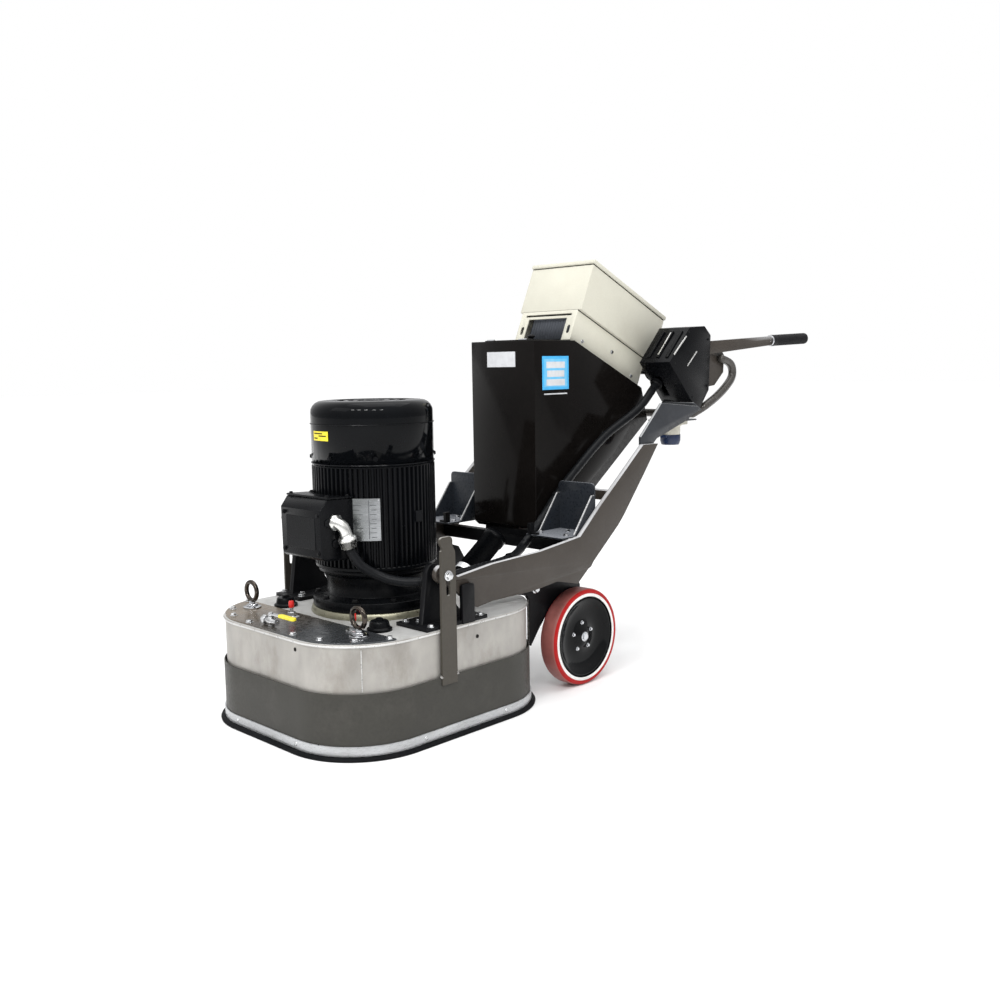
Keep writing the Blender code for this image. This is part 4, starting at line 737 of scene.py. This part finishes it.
for tag, (x, y) in (("left", (0.196, -0.24)), ("right", (-0.056, -0.26))):
    stand = stand_at(x, y, FITTING_BASE)
    work = bmesh.new()
    add_turned(work, mm((0, 0), (21.5, 0), (21.5, 2.5), (19, 4), (12.5, 5), (0, 5)), stand, 28)
    add_turned(work, mm((0, 4), (11.5, 4), (11.5, 14.5), (10, 16), (0, 16)), stand, 6)
    add_turned(work, disc(0.005, 0.015, 0.03), stand, 16)
    piece("grease_nipple_" + tag, work, "head", "zinc", "grease_fitting_" + tag)
    work = bmesh.new()
    add_turned(work, mm((0, 28), (6.8, 28), (7.8, 30), (7.8, 42), (6.4, 46.5), (0, 47.5)), stand, 20)
    piece("grease_cap_" + tag, work, "head", "red")

# a third grease nipple by the pivot, and the black inspection covers on the deck
work = bmesh.new()
stand = stand_at(0.262, 0.04, BRACKET_TOP)
add_turned(work, mm((0, 0), (10, 0), (10, 10), (5.5, 12), (5.5, 26), (0, 26)), stand, 16)
piece("pivot_grease_nipple", work, "head", "zinc")
work = bmesh.new()
add_turned(work, mm((0, 25), (7, 25), (7.8, 28), (7.2, 36), (0, 38)), stand, 16)
piece("pivot_grease_cap", work, "head", "red")

work = bmesh.new()
for x, y in ((0.228, -0.18), (-0.205, -0.178)):
    stand = stand_at(x, y, DECK_TOP + 0.0004)
    add_turned(work, mm((0, 0), (34, 0), (34, 6), (28, 10), (26, 22), (23, 26), (0, 27)), stand, 32)
    add_turned(work, disc(0.01, 0.026, 0.033), stand, 6)
piece("inspection_covers", work, "head", "bell", smooth=45.0)

# ball valve: forged body, hexagon ends, and a lever with a yellow sleeve
VALVE = (-0.018, -0.352)
work = bmesh.new()
ends = basis(at(*VALVE, FITTING_BASE + 0.013), (1, 0, 0))
add_turned(work, mm((0, -28), (8.5, -28), (8.5, -16), (11.2, -9), (11.6, 0), (11.2, 9), (8.5, 16),
                    (8.5, 28), (0, 28)), ends, 28)
add_turned(work, mm((0, -36), (12, -36), (13, -34.5), (13, -23.5), (12, -22), (0, -22)), ends, 6)
stand = stand_at(*VALVE, FITTING_BASE)
add_turned(work, disc(0.0085, 0.0, 0.006), stand, 20)
add_turned(work, mm((0, 18), (8, 18), (8, 26), (5.8, 27.5), (5.8, 30), (0, 30)), stand, 20)
piece("valve_casting", work, "head", "zinc", "valve_body", bevel=0.0004)
work = bmesh.new()
stand = stand_at(*VALVE, FITTING_BASE + 0.0303)
add_turned(work, disc(0.0088, 0.0, 0.0016), stand, 24)
add_turned(work, disc(0.0062, 0.001, 0.0066), stand, 6)
add_box(work, (0.0, -0.0065, 0.0012), (0.052, 0.0065, 0.004), stand)
piece("valve_blade", work, "valve_handle", "zinc", "valve_lever", bevel=0.0004)
work = bmesh.new()
sleeve = arc((0.048, 0.0), 0.0082, 90.0, 270.0, 8) + arc((0.1035, 0.0), 0.0082, -90.0, 90.0, 8)
add_prism(work, sleeve, -0.0008, 0.0072, stand)
piece("valve_sleeve", work, "valve_handle", "yellow", bevel=0.0022, segments=3)

# ---------------------------------------------------------------- motor details

work = bmesh.new()
teeth = []
for i in range(72):
    for radius, part in ((0.1656, -0.36), (0.1742, -0.17), (0.1745, 0.0), (0.1742, 0.17), (0.1656, 0.36)):
        angle = 2 * math.pi * (i + part) / 72
        teeth.append((radius * math.cos(angle), radius * math.sin(angle)))
axis_at = stand_at(0, 0, 0)
add_prism(work, teeth, motor_low.z + 0.012, motor_high.z - 0.002, axis_at)
add_turned(work, mm((0, 0), (171.5, 0), (174, 3), (174, 10), (171.5, 12.5), (0, 12.5)),
           stand_at(0, 0, motor_low.z), 72)
add_turned(work, disc(0.1725, motor_high.z - 0.0025, motor_high.z), axis_at, 72)
piece("motor_barrel", work, "head", "motor", "motor_body", smooth=25.0)

work = bmesh.new()
add_torus(work, axis_at @ Matrix.Translation((0, 0, 0.833)), 0.1742, 0.0016, 96, 8)
add_torus(work, axis_at @ Matrix.Translation((0, 0, 0.7235)), 0.1738, 0.002, 96, 8)
piece("cowl_beads", work, "head", "motor")

work = bmesh.new()
for n in range(8):
    outward = outward_at(45 * n + 8)
    add_hex_bolt(work, at(0, 0, 0.741) + outward * 0.1736, outward, 0.0052, 0.0036)
piece("cowl_screws", work, "head", "motor")


def add_curved_plate(work, radius, thickness, start, end, low, high, steps=16):
    """A thin plate wrapped on the motor between two angles."""
    rings = []
    for i in range(steps + 1):
        outward = outward_at(start + (end - start) * i / steps)
        rings.append([work.verts.new(at(0, 0, z) + outward * r)
                      for r, z in ((radius, low), (radius + thickness, low),
                                   (radius + thickness, high), (radius, high))])
    join_rings(work, rings)
    work.faces.new(rings[0][::-1])
    work.faces.new(rings[-1])


work = bmesh.new()
add_curved_plate(work, 0.1747, 0.0009, -61.0, -34.0, 0.519, 0.635)
piece("rating_plate", work, "head", "plate")
work = bmesh.new()
for row in range(8):
    z = 0.528 + 0.0125 * row
    add_curved_plate(work, 0.1756, 0.0002, -59.0, -52.5 + (row % 3) * 1.4, z, z + 0.0016, 6)
    add_curved_plate(work, 0.1756, 0.0002, -42.0 - (row % 2) * 1.5, -37.5, z, z + 0.0016, 6)
add_curved_plate(work, 0.1756, 0.0002, -44.5, -43.9, 0.524, 0.63, 2)
piece("rating_plate_rulings", work, "head", "lettering")
work = bmesh.new()
for angle in (-59.6, -35.4):
    for z in (0.524, 0.63):
        outward = outward_at(angle)
        add_dome(work, at(0, 0, z) + outward * 0.1755, outward, 0.0024, 0.0014, 10)
piece("rating_plate_rivets", work, "head", "chrome")

work = bmesh.new()
add_curved_plate(work, 0.17455, 0.0005, -106.5, -82.5, 0.7895, 0.8155)
piece("yellow_tag", work, "head", "yellow")
work = bmesh.new()
for row, (start, end) in enumerate(((-104.5, -98.0), (-96.0, -85.0), (-104.5, -90.0))):
    z = 0.7945 + 0.0066 * row
    add_curved_plate(work, 0.1751, 0.0002, start, end, z, z + 0.0032, 8)
piece("yellow_tag_bars", work, "head", "gasket")

# a lifting lug on the barrel
work = bmesh.new()
add_box(work, (-0.01, -0.012, -0.016), (0.0085, 0.012, 0.016), stand_at(0.1735, 0.011, 0.577))
piece("motor_lug", work, "head", "motor", bevel=0.003)

# conduit box: lid screws, a raised front panel and blind plugs
work = bmesh.new()
for x in (-0.082, 0.082):
    for y in (-0.228, -0.16):
        z = 0.6464 if y < -0.2 else 0.6434
        add_hex_bolt(work, at(x, y, z - 0.0004), (0, 0, 1), 0.0046, 0.0034)
for x in (-0.078, 0.078):
    for z in (0.496, 0.598):
        add_hex_bolt(work, at(x, -0.2574, z), (0, -1, 0), 0.0048, 0.0034)
piece("conduit_box_screws", work, "head", "satin")
work = bmesh.new()
panel = basis(at(0.0, -0.2566, 0.548), (0, -1, 0), (1, 0, 0))
add_prism(work, rectangle(0.066, 0.044), -0.001, 0.0022, panel)
piece("conduit_box_panel", work, "head", "box", bevel=0.0018)
work = bmesh.new()
for y, z in ((-0.212, 0.52), (-0.236, 0.577)):
    add_turned(work, mm((0, 0), (12.5, 0), (12.5, 5), (11, 6.5), (0, 6.5)),
               basis(at(0.092, y, z), (1, 0, 0)), 6)
piece("conduit_box_plugs", work, "head", "satin", bevel=0.0005)

# ---------------------------------------------------------------- power hose over the pivot

JUNCTION = Vector((0.256, PIVOT[0], PIVOT[1] - 0.03))
JUNCTION_WAY = Vector((0.5, 0.866, 0.0)).normalized()
UNDERSIDE = Vector((0.21, 1.077, 0.92))
UNDERSIDE_WAY = Vector((0.0, 0.7229, 0.691))
start = Vector((0.1182, -0.1866, 0.5098))
route = [start, (0.12, -0.183, 0.498), (0.137, -0.16, 0.456), (0.17, -0.118, 0.424),
         (0.214, -0.09, 0.413), JUNCTION - JUNCTION_WAY * 0.012, JUNCTION + JUNCTION_WAY * 0.012,
         (0.266, 0.02, 0.414), (0.24, 0.18, 0.412), (0.208, 0.34, 0.415),
         (0.159, 0.45, 0.432), (0.157, 0.53, 0.495), (0.157, 0.61, 0.57),
         (0.157, 0.71, 0.648), (0.164, 0.85, 0.748), (0.202, 0.98, 0.833),
         UNDERSIDE - UNDERSIDE_WAY * 0.014, UNDERSIDE - UNDERSIDE_WAY * 0.0006]
run = [Vector((p.x, p.y + AXIS_Y, p.z)) for p in smooth_run(route, 26)]
work = bmesh.new()
add_sweep(work, run, 0.0134, 18, 0.0005, 0.0048)
bmesh.ops.recalc_face_normals(work, faces=work.faces)
hose = mesh_object("power_hose", work, M["hose"])
hose.data.shade_smooth()
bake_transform(hose)
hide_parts("motor_conduit", "frame_conduit")

work = bmesh.new()
finish = Vector((UNDERSIDE.x, UNDERSIDE.y + AXIS_Y, UNDERSIDE.z))
gland = basis(finish - UNDERSIDE_WAY * 0.016, UNDERSIDE_WAY)
add_turned(work, mm((0, 0), (16.5, 0), (19, 3), (19, 8), (22.5, 8.5), (22.5, 15.4), (0, 15.4)), gland, 24)
piece("box_gland", work, "chassis", "satin")

# two clips that hold the hose to the frame
work = bmesh.new()
for p, q in (((0.208, 0.34, 0.415), (0.0, 1.0, 0.05)), ((0.157, 0.61, 0.57), (0.0, 0.75, 0.66))):
    add_turned(work, mm((14.1, -6), (16, -6), (16, 6), (14.1, 6)), basis(at(*p), q), 28, closed=True)
piece("hose_clips", work, "chassis", "satin")

# ---------------------------------------------------------------- suction pipe

angle = math.radians(35.7)
way = Vector((0.0, math.cos(angle), math.sin(angle)))
work = bmesh.new()
add_turned(work, mm((36.2, 0), (39.2, 0), (39.2, 20), (36.2, 20)),
           basis(at(0, 0.3, 0.302) + way * 0.058, way), 40, closed=True)
piece("suction_clamp", work, "head", "zinc", bevel=0.0006)
work = bmesh.new()
for x in (-0.046, 0.046):
    for y in (0.27, 0.35):
        add_hex_bolt(work, at(x, y, DECK_TOP + 0.009), (0, 0, 1), 0.0048, 0.0036)
piece("suction_flange_bolts", work, "head", "zinc")

# ---------------------------------------------------------------- wheels

for side, tag in SIDES:
    body = "wheel_" + tag
    hub_low, hub_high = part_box("wheel_hub_" + tag)
    centre = (hub_low + hub_high) / 2
    facing = basis(Vector((side * WHEEL_OUTER, centre.y, centre.z)), (side, 0, 0))
    hub_face = side * (WHEEL_OUTER - WHEEL_WIDTH)
    work = bmesh.new()
    add_turned(work, mm((136.2, -0.6), (142, -0.6), (146.5, -2.4), (149, -6.4), (150, -13), (150, -47),
                        (149, -53.6), (146.5, -57.6), (142, -59.4), (124.6, -59.4), (124.6, -20),
                        (136.2, -12)),
               facing, 96, closed=True)
    piece("tread_" + tag, work, body, "tread", "tyre_" + tag, smooth=50.0)
    for x, flip, label in ((side * WHEEL_OUTER, 1, "outer"), (hub_face, -1, "inner")):
        face = basis(Vector((x, centre.y, centre.z)), (side * flip, 0, 0))
        work = bmesh.new()
        add_turned(work, mm((135.8, -3), (135.8, -0.4), (137, 0), (142.5, 0), (146.2, -1.4),
                            (148.2, -4.4), (144, -8)), face, 96, closed=True)
        piece("tyre_%s_wall_%s" % (label, tag), work, body, "wall", smooth=50.0)
        work = bmesh.new()
        add_turned(work, mm((126.2, -11), (126.2, -0.6), (126.8, 0), (134.8, 0), (135.6, -0.6),
                            (135.6, -11)), face, 96, closed=True)
        piece("tyre_%s_ring_%s" % (label, tag), work, body, "white_ring", smooth=50.0)
        work = bmesh.new()
        add_turned(work, mm((124.2, -11), (124.2, -1.2), (124.8, -0.6), (126.1, -0.6),
                            (126.1, -11)), face, 96, closed=True)
        piece("hub_%s_lip_%s" % (label, tag), work, body, "hub", smooth=50.0)
    work = bmesh.new()
    for n in range(5):
        spin = math.radians(72 * n + 20)
        offset = Vector((0.0, math.cos(spin) * 0.043, math.sin(spin) * 0.043))
        add_hex_bolt(work, Vector((hub_face + side * 0.0423, centre.y, centre.z)) + offset,
                     (side, 0, 0), 0.0048, 0.004)
    add_hex_bolt(work, Vector((hub_face + side * 0.0524, centre.y, centre.z)), (side, 0, 0), 0.0115, 0.0056)
    piece("hub_bolts_" + tag, work, body, "chrome")

# ---------------------------------------------------------------- frame, brackets, handle

for side, tag in SIDES:
    work = bmesh.new()
    add_hex_bolt(work, at(side * 0.2593, 0.396, 0.319), (side, 0, 0), 0.0105, 0.008)
    piece("hanger_bolts_" + tag, work, "chassis", "zinc")

    # the stiffening rod welded along the hanger's front leg
    work = bmesh.new()
    edge = [at(side * 0.253, y, z) for y, z in ((0.3, 0.321), (0.357, 0.306), (0.3708, 0.288),
                                                 (0.3708, 0.2), (0.3712, 0.154))]
    add_sweep(work, smooth_run(edge, 6), 0.0028, 12)
    piece("hanger_rod_" + tag, work, "chassis", "guard")

    # ballast shelf: three floor bolts and a latch
    work = bmesh.new()
    for x, y in ((0.248, 0.56), (0.3, 0.49), (0.196, 0.49)):
        add_hex_bolt(work, at(side * x, y, SHELF_TOP), (0, 0, 1), 0.007, 0.006)
    piece("shelf_bolts_" + tag, work, "chassis", "chrome")
    work = bmesh.new()
    add_box(work, (-0.006, -0.01, 0.0), (0.006, 0.01, 0.034), stand_at(side * 0.19, 0.4545, 0.4722))
    add_box(work, (-0.014, -0.006, 0.0), (0.014, 0.006, 0.006), stand_at(side * 0.206, 0.4545, 0.4722))
    piece("shelf_latch_" + tag, work, "chassis", "satin", bevel=0.0012)
    # bright cut edges of the gussets
    work = bmesh.new()
    for x in (0.1784, 0.3184):
        ends = [at(side * x, 0.5062, 0.4745), at(side * x, 0.59, 0.5856), at(side * x, 0.602, 0.5856)]
        add_sweep(work, ends, 0.003, 8)
    piece("gusset_edges_" + tag, work, "chassis", "steel")
    # grips: the rubber sleeve's ribs, its flange and the silver ring in front of it
    bend = at(side * 0.337, 1.594, 1.0605)
    end = at(side * 0.3755, 1.788, 1.069)
    heading = (end - bend).normalized()
    first = bend + heading * 0.012
    length = (end - first).length
    work = bmesh.new()
    profile = [(0.0, length), (0.015, length - 0.0004), (0.0196, length - 0.004), (0.0204, length - 0.009)]
    count = 26
    for k in range(count):
        z = length - 0.012 - (length - 0.03) * k / count
        profile += [(0.0203, z), (0.0191, z - 0.0018), (0.0191, z - 0.0036)]
    profile += [(0.0205, 0.012), (0.0205, 0.001), (0.0195, 0.0), (0.0129, 0.0), (0.0129, length - 0.01),
                (0.0, length - 0.01)]
    add_turned(work, profile, basis(first, heading), 32)
    piece("ribbed_grip_" + tag, work, "chassis", "grip", "grip_" + tag, smooth=35.0)
    work = bmesh.new()
    add_turned(work, mm((12.8, 0), (18.6, 0), (19.4, 1.2), (19.4, 7.2), (18.6, 8.4),
                        (12.8, 8.4)), basis(first - heading * 0.0092, heading), 36, closed=True)
    piece("grip_collar_" + tag, work, "chassis", "chrome")

# ---------------------------------------------------------------- tank

work = bmesh.new()
add_box(work, (-0.062, -0.0006, -0.024), (0.062, 0.0004, 0.024), stand_at(-0.004, 0.5336, 1.005))
piece("tank_front_label", work, "chassis", "label_pale")

work = bmesh.new()
frame_at = stand_at(0.139, 0.633, 0.9605)
add_box(work, (-0.0002, -0.063, -0.0525), (0.0006, 0.063, 0.0525), frame_at)
piece("tank_side_label_border", work, "chassis", "label_frame")
work = bmesh.new()
add_box(work, (0.0005, -0.054, -0.044), (0.0009, 0.054, 0.044), frame_at)
piece("tank_side_label_field", work, "chassis", "label_blue")
work = bmesh.new()
for row in range(3):
    z = -0.04 + 0.0275 * row
    width = 0.044 - 0.003 * (row % 2)
    add_box(work, (0.0008, -width, z), (0.0011, width, z + 0.02), frame_at)
add_box(work, (-0.0002, -0.055, -0.068), (0.0005, 0.055, -0.064), frame_at)
piece("tank_side_label_bars", work, "chassis", "label_pale")

work = bmesh.new()
for x in (-0.07, 0.07):
    matrix = basis(at(x, 0.556, 1.066), (1, 0, 0))
    add_turned(work, disc(0.0034, -0.016, 0.016), matrix, 16)
piece("tank_lid_hinge_pins", work, "chassis", "chrome")
work = bmesh.new()
knob = stand_at(0.0, 0.672, 1.0662)
add_turned(work, mm((0, 0), (8, 0), (6.5, 6), (12, 10), (12.5, 15), (9, 18), (0, 18.5)), knob, 24)
piece("tank_lid_knob", work, "tank_cover", "satin")

# bolts low on the tank's sides
work = bmesh.new()
for side in (1, -1):
    for y, z in ((0.684, 0.556), (0.726, 0.556), (0.684, 0.586), (0.726, 0.586)):
        add_hex_bolt(work, at(side * 0.1443, y, z), (side, 0, 0), 0.0044, 0.0034)
piece("tank_pad_bolts", work, "chassis", "zinc")

# ---------------------------------------------------------------- cabinet and its channel

slope = tilt_matrix(CHANNEL_ORIGIN)
upper = tilt_matrix(CABINET_ORIGIN)
work = bmesh.new()
add_box(work, (-0.1335, 0.001, 0.1598), (0.1335, 0.427, 0.1629), upper)
piece("cabinet_gasket", work, "chassis", "gasket")
work = bmesh.new()
add_box(work, (-0.1225, 0.0006, 0.1028), (0.1225, 0.394, 0.106), slope)
piece("channel_gasket", work, "chassis", "gasket")

work = bmesh.new()
for x in (-0.092, 0.092):
    add_hex_bolt(work, upper @ Vector((x, 0.4322, 0.17)), upper.to_3x3() @ Vector((0, 1, 0)), 0.0036, 0.0026)
piece("cabinet_lid_screws", work, "cabinet_cover", "chrome")
work = bmesh.new()
add_hex_bolt(work, slope @ Vector((0.1223, 0.215, 0.052)), (1, 0, 0), 0.005, 0.004)
for side in (-1, 1):
    for along in (0.06, 0.345):
        add_hex_bolt(work, slope @ Vector((side * 0.1222, along, 0.02)), (side, 0, 0), 0.0046, 0.0036)
piece("channel_bolts", work, "chassis", "chrome")

# cable glands low on the cabinet's rear
work = bmesh.new()
down = upper.to_3x3() @ Vector((0, 1, 0))
for x in (-0.085, -0.045, 0.0, 0.045):
    matrix = basis(upper @ Vector((x, 0.4278, 0.045)), down)
    add_turned(work, disc(0.0135, 0.0, 0.006), matrix, 6)
    add_turned(work, mm((0, 5), (10, 5), (9.5, 14), (7.5, 17), (0, 17)), matrix, 20)
piece("cabinet_glands", work, "chassis", "satin")

# two leads from the cabinet's glands into the control box's inner wall
work = bmesh.new()
for k, x in enumerate((0.0, 0.045)):
    begin = upper @ Vector((x, 0.4278 + 0.014, 0.045))
    points = [begin, begin + down * 0.02, at(x + 0.04, 1.186 + 0.004 * k, 0.962 - 0.022 * k),
              at(0.13, 1.186, 0.946 - 0.024 * k), at(0.168, 1.17, 0.948 - 0.024 * k),
              at(0.1828, 1.17, 0.948 - 0.024 * k)]
    add_sweep(work, smooth_run(points, 8), 0.0055, 12)
piece("cabinet_leads", work, "chassis", "hose")

# ---------------------------------------------------------------- control box

# bright silver strips on the box's near side: painted highlights, standing in for light caught along its
# rounded edges
along = Vector((0.0, math.cos(math.radians(40.8)), math.sin(math.radians(40.8))))
work = bmesh.new()
for y, z, half in ((1.069, 1.043, 0.047), (1.139, 0.999, 0.037)):
    add_prism(work, rectangle(half, 0.0023), -0.001, 0.0028, basis(at(0.3092, y, z), (1, 0, 0), along))
piece("control_box_highlight_strips", work, "chassis", "silver", bevel=0.0007)

# ribs on the box's sloping front face; the middle one carries a bright silver strip, a painted highlight
# standing in for light caught on the rib
face_start = Vector((1.012, 0.988))
face_end = Vector((1.126, 1.104))
face_way = (face_end - face_start).normalized()
face_out = Vector((-face_way.y, face_way.x))


def face_matrix(x, out):
    """On the sloping face, at its middle and a little proud of it."""
    middle = (face_start + face_end) / 2 + face_out * out
    return basis(at(x, *middle), (0.0, *face_out), (0.0, *face_way))


work = bmesh.new()
for x in (0.213, 0.25, 0.287):
    add_prism(work, rectangle(0.062, 0.006), -0.001, 0.006, face_matrix(x, 0.0002))
piece("control_box_ribs", work, "chassis", "box", bevel=0.002)
# the bright strip on the middle rib is a painted highlight
work = bmesh.new()
add_prism(work, rectangle(0.052, 0.0022), -0.0004, 0.0014, face_matrix(0.25, 0.0062))
piece("control_box_rib_highlight_strip", work, "chassis", "silver", bevel=0.0004)

work = bmesh.new()
for y, z in ((1.235, 0.905), (1.24, 1.065), (1.12, 1.088), (1.04, 0.985), (1.145, 0.868)):
    add_dome(work, at(0.3091, y, z), (1, 0, 0), 0.0042, 0.002, 14)
piece("control_box_screws", work, "chassis", "satin")

# yellow collar under the stop button, bezel under the start button
well = basis(at(0.246, 1.2395, 1.0908), (0.0, 0.63, 0.777), (1, 0, 0))
work = bmesh.new()
add_turned(work, mm((9.2, 0), (18, 0), (17.2, 1.4), (9.2, 1.6)),
           well @ Matrix.Translation((-0.028, 0, 0.0002)), 32, closed=True)
piece("stop_collar", work, "chassis", "yellow")
work = bmesh.new()
add_turned(work, mm((8.8, 0), (13, 0), (12.4, 3), (9.2, 3.6), (8.8, 3.4)),
           well @ Matrix.Translation((0.03, 0, 0.0002)), 32, closed=True)
piece("start_bezel", work, "chassis", "chrome")

# inlet: pale mounting flange under the neck's shelf
work = bmesh.new()
ring = rounded_rectangle(0.044, 0.044, 0.008, 4, (0.25, 1.1))
add_prism(work, ring, 0.776, 0.7894, Matrix.Translation((0, AXIS_Y, 0)))
piece("inlet_flange", work, "chassis", "ivory", bevel=0.0012)

# ---------------------------------------------------------------- floor, light, camera

work = bmesh.new()
bmesh.ops.create_grid(work, x_segments=1, y_segments=1, size=40.0)
floor_white = surface("floor_white", (0.93, 0.93, 0.93), 0.55, 0.0, 0.004, 3, 0.0, spec=0.15, speck=0.02)
floor = mesh_object("studio_floor", work, floor_white)
floor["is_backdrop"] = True


def area_light(name, place, target, size, power):
    light = bpy.data.lights.new(name, "AREA")
    light.shape = "RECTANGLE"
    light.size, light.size_y = size
    light.energy = power
    lamp = linked(name, light)
    lamp.location = place
    lamp.rotation_euler = (Vector(target) - Vector(place)).to_track_quat("-Z", "Y").to_euler()


area_light("key", (-1.0, -3.9, 3.4), (0.0, -0.2, 0.5), (2.6, 1.8), 16.0)
area_light("top", (0.1, 0.2, 4.2), (0.0, 0.0, 0.3), (3.2, 3.2), 46.0)
for n, place in enumerate(((0.6, -3.7, 3.2), (1.3, -3.5, 3.2), (2.0, -3.1, 3.2),
                           (2.7, -2.5, 3.2), (3.2, -1.8, 3.2))):
    area_light("window_%d" % n, place, (0.0, -0.6, 0.8), (0.32, 0.2), 16.5)
sky = bpy.data.lights.new("sky", "SUN")
sky.energy = 0.42
sky.angle = math.radians(50)
linked("sky", sky)

# a studio that is white behind the object, brightest overhead and dim round the horizon
world = bpy.data.worlds.new("studio")
world.use_nodes = True
tree = world.node_tree
background = tree.nodes["Background"]
background.inputs["Strength"].default_value = 1.0
coords = node(tree, "ShaderNodeTexCoord", (-1000, 0))
height = ramp(tree, (-600, 0), part_of(tree, (-800, 0), coords.outputs["Generated"], "Z"), 0.0, 0.75)
dome = mix_colour(tree, (-400, 0), height, (0.5, 0.5, 0.51, 1.0), (1.15, 1.15, 1.15, 1.0))
paths = node(tree, "ShaderNodeLightPath", (-400, 300))
seen = mix_colour(tree, (-200, 0), paths.outputs["Is Camera Ray"], dome, (1.0, 1.0, 1.0, 1.0))
tree.links.new(seen, background.inputs["Color"])
bpy.context.scene.world = world
bpy.context.scene.view_settings.view_transform = "Standard"

AZIMUTH, ELEVATION, ROLL = math.radians(44.415), math.radians(7.364), math.radians(-0.91)
camera_data = bpy.data.cameras.new("camera")
camera_data.sensor_width = 36.0
camera_data.lens = 37.8
camera_data.clip_end = 100.0
camera = linked("camera", camera_data)
camera.matrix_world = (stand_at(2.352, -1.886, 0.99) @ Matrix.Rotation(AZIMUTH, 4, "Z")
                       @ Matrix.Rotation(math.pi / 2 - ELEVATION, 4, "X") @ Matrix.Rotation(ROLL, 4, "Z"))
bpy.context.scene.camera = camera

low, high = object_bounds()
